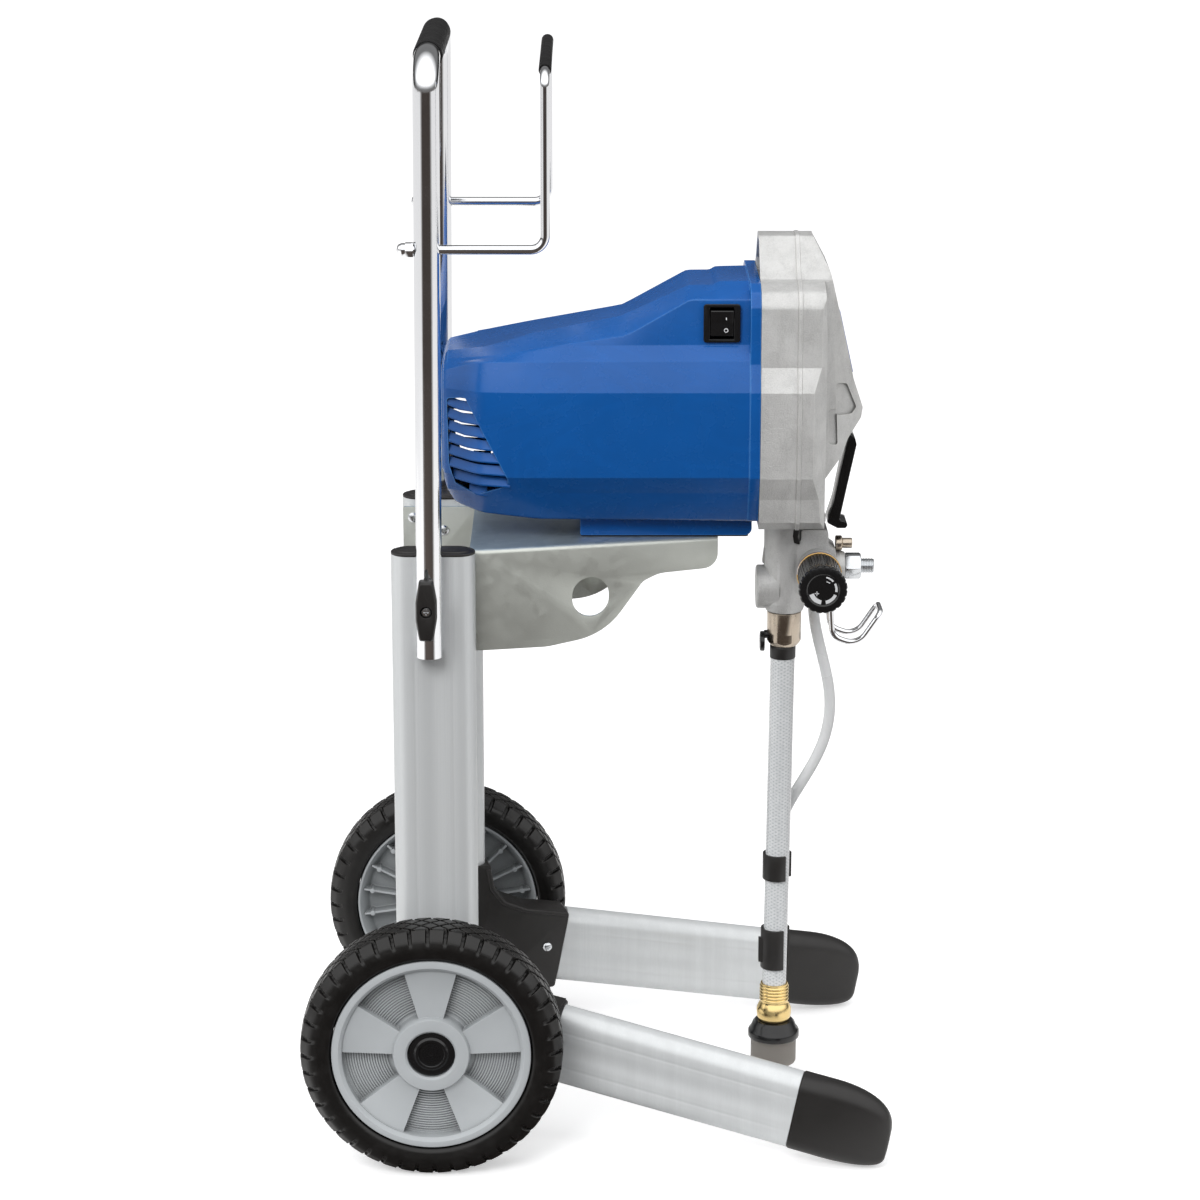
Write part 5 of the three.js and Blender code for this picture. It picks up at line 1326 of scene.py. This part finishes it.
PX = middle("piston_rod")[0]
CX, CZ = middle("pressure_knob")[0], middle("pressure_knob")[2]
OUT_Z = middle("outlet_fitting")[2]
BOTTOM = high("inlet_nut")[2] + 0.3
TOP = high("pump_manifold")[2]
barrel = lathe(fillet([(0, BOTTOM), (16.5, BOTTOM), (19, BOTTOM + 9), (19, TOP - 12), (22, TOP - 4),
        (22, TOP), (0, TOP)], [0, 2.5, 4, 5, 1.5, 0, 0], 4, False),
               "z", (PX, 0, 0), 80)
flange_plate = prism(fillet([(291, -24), (346, -24), (346, 24), (291, 24)], 6, 5), "z", TOP - 5, TOP)
boss = lathe(fillet([(0, 0), (18.2, 0), (19.5, 1.5), (19.5, 20), (0, 20)], [0, 1.5, 1.5, 0, 0], 4, False),
             "x", (286, 0, 478), 64)
forward = prism(fillet([(PX, 476), (350, 476), (356, 482), (356, 515), (349, 520), (349, 534), (325, 534),
        (325, 523), (PX, 523)], [0, 4, 4, 3, 3, 4, 2, 3, 0], 4),
                "y", -17, 17)
outlet_boss = lathe(fillet([(0, 0), (14, 0), (14, 10), (12.5, 15), (0, 15)], [0, 0, 2, 1.5, 0], 4, False),
                    "x", (350, 0, OUT_Z), 48)
control = lathe(fillet([(0, 0), (17, 0), (17, 39.2), (15.8, 39.7), (0, 39.7)], [0, 0, 1, 0.5, 0], 3, False),
                "-y", (CX, 0, CZ), 56)
stem = rod(4.7, (CX, 0, CZ), "-y", 80, 32, 0.5)
prime = rod(14, (339, 0, CZ), "y", 42, 48, 1.2)
prime_stem = rod(4.5, (339, 0, CZ), "y", 58, 32, 0.5)
barb = rod(2.8, (339, 24, 452), "z", 38, 24)
rib = prism(fillet([(291, 500), (297, 547), (303, 547), (303, 500)], 1.5, 3), "y", -3, 3)
make("pump_block", barrel, CAST, "frame", ["pump_manifold"],
     add=[flange_plate, boss, forward, outlet_boss, control, stem, prime, prime_stem, barb, rib],
     cut=[rod(8, (PX, 0, BOTTOM - 1), "z", 60, 48), rod(4, (366.5, 0, OUT_Z), "-x", 40, 32)], bevel=1.0,
     segments=3, angle=48)
# black filler in the gap behind the raised top of the pump block: painted shade, a dark piece put where the gap lies
# in shadow
gap_arc = fillet([(318.2, 536), (323.5, 536), (321.8, 528), (324.5, 520.5), (318.4, 522.5), (317.2, 529)],
                 1.2, 4)
make("valve_gap_shade_piece", prism(gap_arc, "y", -18.4, 18.4), BLACK, "frame", bevel=0.4)

# pressure ring and knob
ring_lo, ring_hi = low("pressure_ring"), high("pressure_ring")
make("pressure_zone_ring", lathe(fillet([(5.2, ring_lo[1]), (20, ring_lo[1]), (20, ring_hi[1]),
        (5.2, ring_hi[1])], 0.4, 2), "y", (CX, 0, CZ), 80, ring=True),
     RING, "frame", ["pressure_ring"])
face_y, back_y = low("pressure_knob")[1], high("pressure_knob")[1]
depth = back_y - face_y


def knob_solid():
    """Grip with a scalloped flange at the front and fine ribs round the barrel."""
    sides = 240
    rows = [(0, 0, 0, 0), (13.4, 0, 0, 0), (14.6, -0.9, 0, 0), (17.2, -1.0, 0, 0), (20.3, -0.4, 0.5, 0),
            (21.2, 0.8, 1, 0), (21.4, 3.0, 1, 0), (21.2, 6.4, 1, 0),
            (20.2, 8.0, 0.6, 0), (18.9, 8.6, 0, 0.4), (18.6, 10, 0, 1), (19.2, depth - 2, 0, 1),
            (19.4, depth - 0.6, 0, 0.3), (19.0, depth, 0, 0), (0, depth, 0, 0)]
    points, faces, rings = [], [], []
    for r, y, scallop, rib_on in rows:
        if r == 0:
            rings.append([len(points)])
            points.append((0, y, 0))
            continue
        rings.append(list(range(len(points), len(points) + sides)))
        for k in range(sides):
            t = 2 * math.pi * k / sides
            dip = scallop * 0.9 * max(0, math.cos(20 * t)) ** 2 + rib_on * 0.55 * (1 if math.cos(40 * t) > 0.1 else 0)
            points.append(((r - dip) * math.cos(t), y, (r - dip) * math.sin(t)))
    for a, b in zip(rings, rings[1:]):
        for k in range(sides):
            n = (k + 1) % sides
            if len(a) == 1:
                faces.append((a[0], b[k], b[n]))
            elif len(b) == 1:
                faces.append((a[k], b[0], a[n]))
            else:
                faces.append((a[k], b[k], b[n], a[n]))
    return moved((np.array(points, float), faces), (CX, face_y + 1.0, CZ))


make("pressure_dial", knob_solid(), GLOSS_BLACK, "pressure_control", ["pressure_knob"],
     cut=[rod(5, (CX, back_y + 1, CZ), "-y", 41, 32)], smooth=30)


def arc_mark(a0, a1, r0, r1, width_end=None):
    outline = []
    w1 = width_end if width_end is not None else r1 - r0
    for t in np.linspace(a0, a1, 14):
        outline.append((r1 * math.cos(math.radians(t)), r1 * math.sin(math.radians(t))))
    for t in np.linspace(a1, a0, 14):
        share = (t - a0) / (a1 - a0)
        r = r1 - ((r1 - r0) * (1 - share) + w1 * share)
        outline.append((r * math.cos(math.radians(t)), r * math.sin(math.radians(t))))
    return prism([(CX + x, CZ + z) for x, z in outline], "y", face_y + 0.75, face_y + 1.2)


marks = [arc_mark(78, 42, 11.0, 12.3, 1.5), arc_mark(30, -8, 10.8, 12.5, 2.1),
         arc_mark(-22, -78, 10.1, 12.7, 3.0), arc_mark(-98, -160, 9.2, 12.8, 4.2)]
marks.append(block((CX - 7.4, face_y + 0.75, CZ - 3.5), (CX - 3.6, face_y + 1.2, CZ - 2.7)))
marks.append(block((CX - 5.9, face_y + 0.75, CZ - 5.0), (CX - 5.1, face_y + 1.2, CZ - 1.2)))
marks.append(turned_about(block((CX + 2.6, face_y + 0.75, CZ + 6.6), (CX + 6.0, face_y + 1.2, CZ + 7.4)), "y",
                          25, (CX + 4.3, 0, CZ + 7)))
make("dial_marks", merged(*marks), WHITE_MARK, "pressure_control")

# prime valve knob
lo, hi = low("prime_valve_knob"), high("prime_valve_knob")
px, pz = middle("prime_valve_knob")[0], middle("prime_valve_knob")[2]
skirt = lathe(fillet([(0, lo[1]), (14.5, lo[1]), (14.5, lo[1] + 12), (0, lo[1] + 12)], 1.6, 4, False), "y",
              (px, 0, pz), 56)
wing = prism(fillet([(px - 5, lo[2]), (px + 5, lo[2]), (px + 5, hi[2]), (px - 5, hi[2])], 4, 5), "y",
             lo[1] + 8, hi[1])
make("prime_lever", skirt, BLACK, "prime_valve", ["prime_valve_knob"], add=[wing],
     cut=[rod(4.8, (px, lo[1] - 1, pz), "y", 16, 32)], bevel=0.9, segments=3)

# outlet and plug
lo, hi = low("outlet_fitting"), high("outlet_fitting")
hexagon = [(12.2 * math.cos(math.radians(60 * k + 0)),
            OUT_Z + 12.2 * math.sin(math.radians(60 * k + 0))) for k in range(6)]
crown = lathe([(0, lo[0])] + [(10.8, lo[0]), (12.6, lo[0] + 1.4), (12.6, lo[0] + 12.6), (10.8, lo[0] + 14),
        (0, lo[0] + 14)],
              "x", (0, 0, OUT_Z), 64)
thread = [(0, lo[0] + 12), (5.8, lo[0] + 12), (5.8, lo[0] + 14.6)]
x = lo[0] + 15.2
while x < hi[0] - 1.6:
    thread += [(6.7, x), (6.7, x + 0.35), (6.05, x + 0.85), (6.05, x + 1.0)]
    x += 1.41
thread += [(6.5, hi[0] - 0.9), (5.9, hi[0]), (0, hi[0])]
make("outlet_nipple", prism(hexagon, "x", lo[0], lo[0] + 14), BOLT, "frame", ["outlet_fitting"],
     keep=[crown], add=[lathe(thread, "x", (0, 0, OUT_Z), 64)],
     cut=[rod(3.2, (lo[0] - 3, 0, OUT_Z), "x", 40, 32)], bevel=0.2, segments=1)
lo, hi = low("manifold_plug"), high("manifold_plug")
plug_z = middle("manifold_plug")[2]
plug = fillet([(0, 0), (6.8, 0), (6.8, 5.5), (4.6, 6.5), (4.6, 15), (0, 15)], [0, 0.8, 0.8, 0.4, 0.8, 0], 3,
              False)
make("side_plug", lathe(plug, "x", (lo[0], 0, plug_z), 48), NICKEL, "frame", ["manifold_plug"],
     cut=[rod(2.4, (hi[0] + 1, 0, plug_z), "-x", 5, 6)])

# inlet nut, button, collar, hose
lo, hi = low("inlet_nut"), high("inlet_nut")
z0, z1 = lo[2], hi[2]
nut = fillet([(8.5, z0), (12, z0), (15.2, z0 + 4.5), (15.2, z1 - 6), (15.4, z1), (8.5, z1)],
             [0, 1.2, 1.5, 0.5, 0.6, 0], 3)
flats = [turned_about(block((13.9, -12, z0 - 1), (20, 12, z0 + 12)), "z", 60 * k + 30) for k in range(6)]
make("swivel_nut", moved(lathe(nut, "z", sides=96, ring=True), (PX, 0, 0)), NICKEL, "frame",
        ["inlet_nut"],
     cut=[moved(f, (PX, 0, 0)) for f in flats] + [rod(4.2, (PX - 22, 0, z0 + 9.5), "x", 14.5, 32)], bevel=0.3,
     angle=28)
lo, hi = low("inlet_push_button"), high("inlet_push_button")
head = lathe(fillet([(0, 0), (9, 0.3), (9, 4.4), (0, 4.4)], [0, 1.4, 0.8, 0], 4, False), "x", (lo[0], 0, 427),
             56)
notches = [block((lo[0] - 1, -10, 427 + d - 0.35),
                 (lo[0] + 0.5, 10, 427 + d + 0.35)) for d in (-6, -3.6, -1.2, 1.2, 3.6, 6)]
make("inlet_button_cap", head, GLOSS_BLACK, "inlet_button", ["inlet_push_button"],
     add=[rod(3.8, (lo[0] + 4, 0, 433.5), "x", hi[0] - lo[0] - 4, 32)], cut=notches, bevel=0.2, segments=1)
lo, hi = low("hose_collar"), high("hose_collar")
HX = middle("hose_collar")[0]
collar_profile = fillet([(8.5, lo[2]), (11.6, lo[2]), (11.6, hi[2] - 1.2), (11.2, hi[2]), (8.5, hi[2])], 0.5,
                        2)
make("hose_band", lathe(collar_profile, "z", (HX, 0, 0), 72, ring=True), BLACK, "frame",
     ["hose_collar"])
lo, hi = low("suction_hose"), high("suction_hose")
hose_top, hose_end = hi[2], lo[2]
top_x, end_x = hi[0] - 11, lo[0] + 11
path = [(top_x + (end_x - top_x) * t, 0, hose_top + (hose_end - hose_top) * t) for t in np.linspace(0, 1, 24)]
make("intake_hose", pipe(path, 11, 8.5, 56), HOSE, "frame", ["suction_hose"])
lo, hi = low("hose_ferrule"), high("hose_ferrule")
FX = middle("hose_ferrule")[0]
z0, z1 = lo[2], hi[2]
ferrule = [(8.5, z0), (14.4, z0), (15.4, z0 + 1.6), (15.8, z0 + 4.5), (16, z0 + 6.5), (16, z0 + 10.5),
           (14.6, z0 + 14), (13.6, z0 + 16), (12.6, z0 + 17.6)]
z = z0 + 18.6
while z < z1 - 2.6:
    ferrule += [(12.7, z), (13.4, z + 0.9), (13.4, z + 1.7), (12.4, z + 2.6)]
    z += 3.1
ferrule += [(12.7, z1 - 0.6), (12.3, z1), (8.5, z1)]
make("ferrule_crimp", lathe(ferrule, "z", (FX, 0, 0), 96, ring=True), BRASS, "frame",
     ["hose_ferrule"], smooth=50)
lo, hi = low("strainer_cap"), high("strainer_cap")
cz0, cz1 = lo[2], hi[2]
r_out = (hi[0] - lo[0]) / 2
cap = [(8.5, 50.3), (r_out - 1, 50.3), (r_out - 1, cz0), (r_out - 0.3, cz0), (r_out, cz0 + 0.6),
        (r_out, cz0 + 5.6), (r_out - 1.0, cz0 + 7.4), (r_out - 2.4, cz0 + 8.6),
       (19.4, cz0 + 13.6), (17.2, cz0 + 16.0), (14, cz0 + 16.6), (8.5, cz1)]
make("strainer_lid", lathe(cap, "z", (FX, 0, 0), 96, ring=True), GLOSS_BLACK, "frame",
     ["strainer_cap"], bevel=0.25, segments=2, angle=40)
lo, hi = low("strainer_mesh"), high("strainer_mesh")
r = (hi[0] - lo[0]) / 2
bottom = lo[2]
cup = [(0, bottom), (r - 2, bottom), (r - 0.6, bottom + 0.5), (r, bottom + 1.8)]
z = bottom + 3
while z < hi[2] - 1:
    cup += [(r, z), (r - 0.28, z + 0.5)]
    z += 1.0
cup += [(r, hi[2]), (r - 1.2, hi[2]), (r - 1.2, bottom + 1.6), (0, bottom + 1.2)]
make("strainer_cup", lathe(cup, "z", (FX, 0, 0), 120), MESH, "frame", ["strainer_mesh"])

# drain tube and clips
back_y = 18.5
drain = bend_path([(339, 24, 466), (339, 24, 442), (365, 22.5, 343), (end_x + 1.5, back_y, 250),
        (end_x + 1, back_y, 104)],
                  [40, 108, 50], 14)
drain = relaxed(drain, 90, 24)
make("drain_line", pipe(drain, 5, 3.4, 36), TUBE, "frame", ["drain_tube"])


def clip_solid(x, z0, z1):
    def arc(inner, outer, mouth, turn, cx, cy):
        outline = []
        angles = np.linspace(mouth, 2 * math.pi - mouth, 40)
        for t in angles:
            outline.append((cx + outer * math.cos(t + turn), cy + outer * math.sin(t + turn)))
        for t in angles[::-1]:
            outline.append((cx + inner * math.cos(t + turn), cy + inner * math.sin(t + turn)))
        return outline
    hose_ring = prism(arc(11.35, 13.4, 0.6, -0.4, x, 0), "z", z0, z1)
    drain_ring = prism(arc(5.35, 7.2, 0.8, math.pi / 2, x + 0.6, back_y), "z", z0, z1)
    return hose_ring, drain_ring


for node, name in (("upper_hose_clip", "upper_clip"), ("lower_hose_clip", "lower_clip")):
    lo, hi = low(node), high(node)
    x = top_x + (end_x - top_x) * (hose_top - (lo[2] + hi[2]) / 2) / (hose_top - hose_end)
    hose_ring, drain_ring = clip_solid(x, lo[2], hi[2])
    tabs = []
    if name == "lower_clip":
        tabs = [prism(fillet([(x - 15.5, -5), (x - 11.5, -7), (x - 11.5, 2), (x - 15.5, 3)], 1, 3), "z",
                      lo[2] + 6, hi[2] - 10)]
    make(name, hose_ring, BLACK, "frame", [node], add=[drain_ring] + tabs, bevel=0.35)

# pail hook
hook_y = high("pail_hook")[1] - 2.6
strand = lambda y: [(351.5, y, 475.4), (354, y, 436), (377, y, 427.5), (397, y, 458)]
hook_path = bend_path(strand(-hook_y) + strand(hook_y)[::-1], [12, 16, 7, 7, 16, 12], 10)
make("hook_wire", wire(hook_path, 2.6, 24), CHROME, "frame", ["pail_hook"])

# ---- Drive inside the shell: the CAD shapes with finished materials ------------------------------------

INSIDE = {"motor_can": STEEL, "armature_shaft": COPPER, "cooling_fan": BLACK, "drive_gear": STEEL,
          "drive_yoke": STEEL, "piston_rod": BOLT}
for node, material in INSIDE.items():
    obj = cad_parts[node]
    obj.data.materials.clear()
    obj.data.materials.append(material)

# ---- Studio -------------------------------------------------------------------------------------------


def studio():
    plane = bpy.data.meshes.new("floor")
    far = 60.0
    plane.from_pydata([(-far, -far, 0), (far, -far, 0), (far, far, 0), (-far, far, 0)], [], [(0, 1, 2, 3)])
    floor = bpy.data.objects.new("floor", plane)
    bpy.context.scene.collection.objects.link(floor)
    # pale paper: lit and shadowed for the camera, darker in reflections from the camera's side
    s = Surface("studio_floor", (0.93, 0.93, 0.93), 0.8)
    paper = s.mix(s.noise(6, 3), (0.90, 0.90, 0.90), (0.93, 0.93, 0.93))
    rays = s.node("ShaderNodeLightPath").outputs
    xyz = s.node("ShaderNodeSeparateXYZ", Vector=s.place).outputs
    sideways = s.math("ABSOLUTE", s.math("SUBTRACT", xyz["X"], float(DATUM[0]) * MM + 0.1))
    behind = s.math("MAXIMUM", s.math("MULTIPLY", xyz["Y"], -1.0), 0.01)
    clear = s.ramp(s.math("DIVIDE", sideways, behind), 0.62, 1.25, 0.03, 0.80)
    mirrored = s.mix(clear, (0.035, 0.022, 0.015), (1.0, 0.99, 0.97))
    bounce = s.mix(s.ramp(rays["Ray Length"], 0.12, 0.45), (0.80, 0.80, 0.80), (0.08, 0.08, 0.08))
    dim = s.mix(rays["Is Glossy Ray"], bounce, mirrored)
    seen = s.mix(rays["Is Camera Ray"], dim, paper)
    glow = s.math("ADD", s.math("MULTIPLY", rays["Is Camera Ray"], 0.40),
                  s.math("MULTIPLY", s.math("MULTIPLY", rays["Is Glossy Ray"], clear), 0.35))
    floor.data.materials.append(s.finish(**{"Base Color": seen, "Specular IOR Level": 0.0,
                                            "Emission Color": (1, 1, 1, 1), "Emission Strength": glow}))

    world = bpy.data.worlds.new("studio")
    bpy.context.scene.world = world
    world.use_nodes = True
    tree = world.node_tree
    back = tree.nodes["Background"]
    coord = tree.nodes.new("ShaderNodeTexCoord")
    split = tree.nodes.new("ShaderNodeSeparateXYZ")
    tree.links.new(coord.outputs["Generated"], split.inputs[0])
    ramp = tree.nodes.new("ShaderNodeValToRGB")
    stops = ramp.color_ramp
    stops.elements[0].position, stops.elements[0].color = 0.0, (0.16, 0.15, 0.145, 1)
    stops.elements[1].position, stops.elements[1].color = 1.0, (1.7, 1.7, 1.7, 1)
    for position, level in ((0.08, 0.20), (0.16, 0.60), (0.26, 1.5), (0.45, 1.6), (0.7, 1.5)):
        e = stops.elements.new(position)
        e.color = (level, level, level, 1)
    tree.links.new(split.outputs["Z"], ramp.inputs[0])
    rear = tree.nodes.new("ShaderNodeMapRange")
    for socket, value in ((1, -0.1), (2, 0.5), (3, 1.0), (4, 0.13)):
        rear.inputs[socket].default_value = value
    tree.links.new(split.outputs["Y"], rear.inputs[0])
    shaded = tree.nodes.new("ShaderNodeMixRGB")
    shaded.blend_type = "MULTIPLY"
    shaded.inputs[0].default_value = 1.0
    tree.links.new(ramp.outputs[0], shaded.inputs[1])
    tree.links.new(rear.outputs[0], shaded.inputs[2])
    path = tree.nodes.new("ShaderNodeLightPath")
    level = tree.nodes.new("ShaderNodeMixRGB")
    tree.links.new(path.outputs["Is Camera Ray"], level.inputs[0])
    level.inputs[1].default_value = (0.76, 0.76, 0.77, 1)
    level.inputs[2].default_value = (1.0, 1.0, 1.0, 1)
    choose = tree.nodes.new("ShaderNodeMixRGB")
    tree.links.new(path.outputs["Is Glossy Ray"], choose.inputs[0])
    tree.links.new(level.outputs[0], choose.inputs[1])
    tree.links.new(shaded.outputs[0], choose.inputs[2])
    tree.links.new(choose.outputs[0], back.inputs[0])
    back.inputs[1].default_value = 1.0

    def lamp(name, at, target, size, power):
        data = bpy.data.lights.new(name, "AREA")
        data.shape, data.size, data.size_y, data.energy = "RECTANGLE", size[0], size[1], power
        obj = bpy.data.objects.new(name, data)
        obj.location = Vector(at) + Vector(DATUM) * MM
        obj.rotation_euler = (Vector(target) - Vector(at)).to_track_quat("-Z", "Y").to_euler()
        obj.visible_glossy = False
        bpy.context.scene.collection.objects.link(obj)

    lamp("key", (-0.8, -2.4, 2.3), (0.12, 0, 0.40), (1.4, 1.2), 50)
    lamp("overhead", (0.2, -0.5, 2.9), (0.15, 0, 0.3), (2.4, 1.8), 9)
    lamp("side_right", (2.6, 0.4, 1.3), (0.2, 0, 0.5), (0.8, 1.8), 3)
    lamp("side_left", (-2.5, 0.6, 1.3), (0.0, 0, 0.5), (0.8, 1.8), 9)

    view = bpy.data.cameras.new("camera")
    view.sensor_width, view.lens = 36, 103.485
    view.clip_end = 200
    camera = bpy.data.objects.new("camera", view)
    bpy.context.scene.collection.objects.link(camera)
    spot = Matrix.Translation((DATUM[0] * MM + 0.130644, -2.976809, 1.289001))
    camera.matrix_world = (spot @ Matrix.Rotation(math.radians(-0.308), 4,
            "Z") @ Matrix.Rotation(math.radians(90 - 15.469), 4, "X")
                           @ Matrix.Rotation(math.radians(0.067), 4, "Z"))
    bpy.context.scene.camera = camera
    bpy.context.scene.view_settings.view_transform = "Standard"


studio()
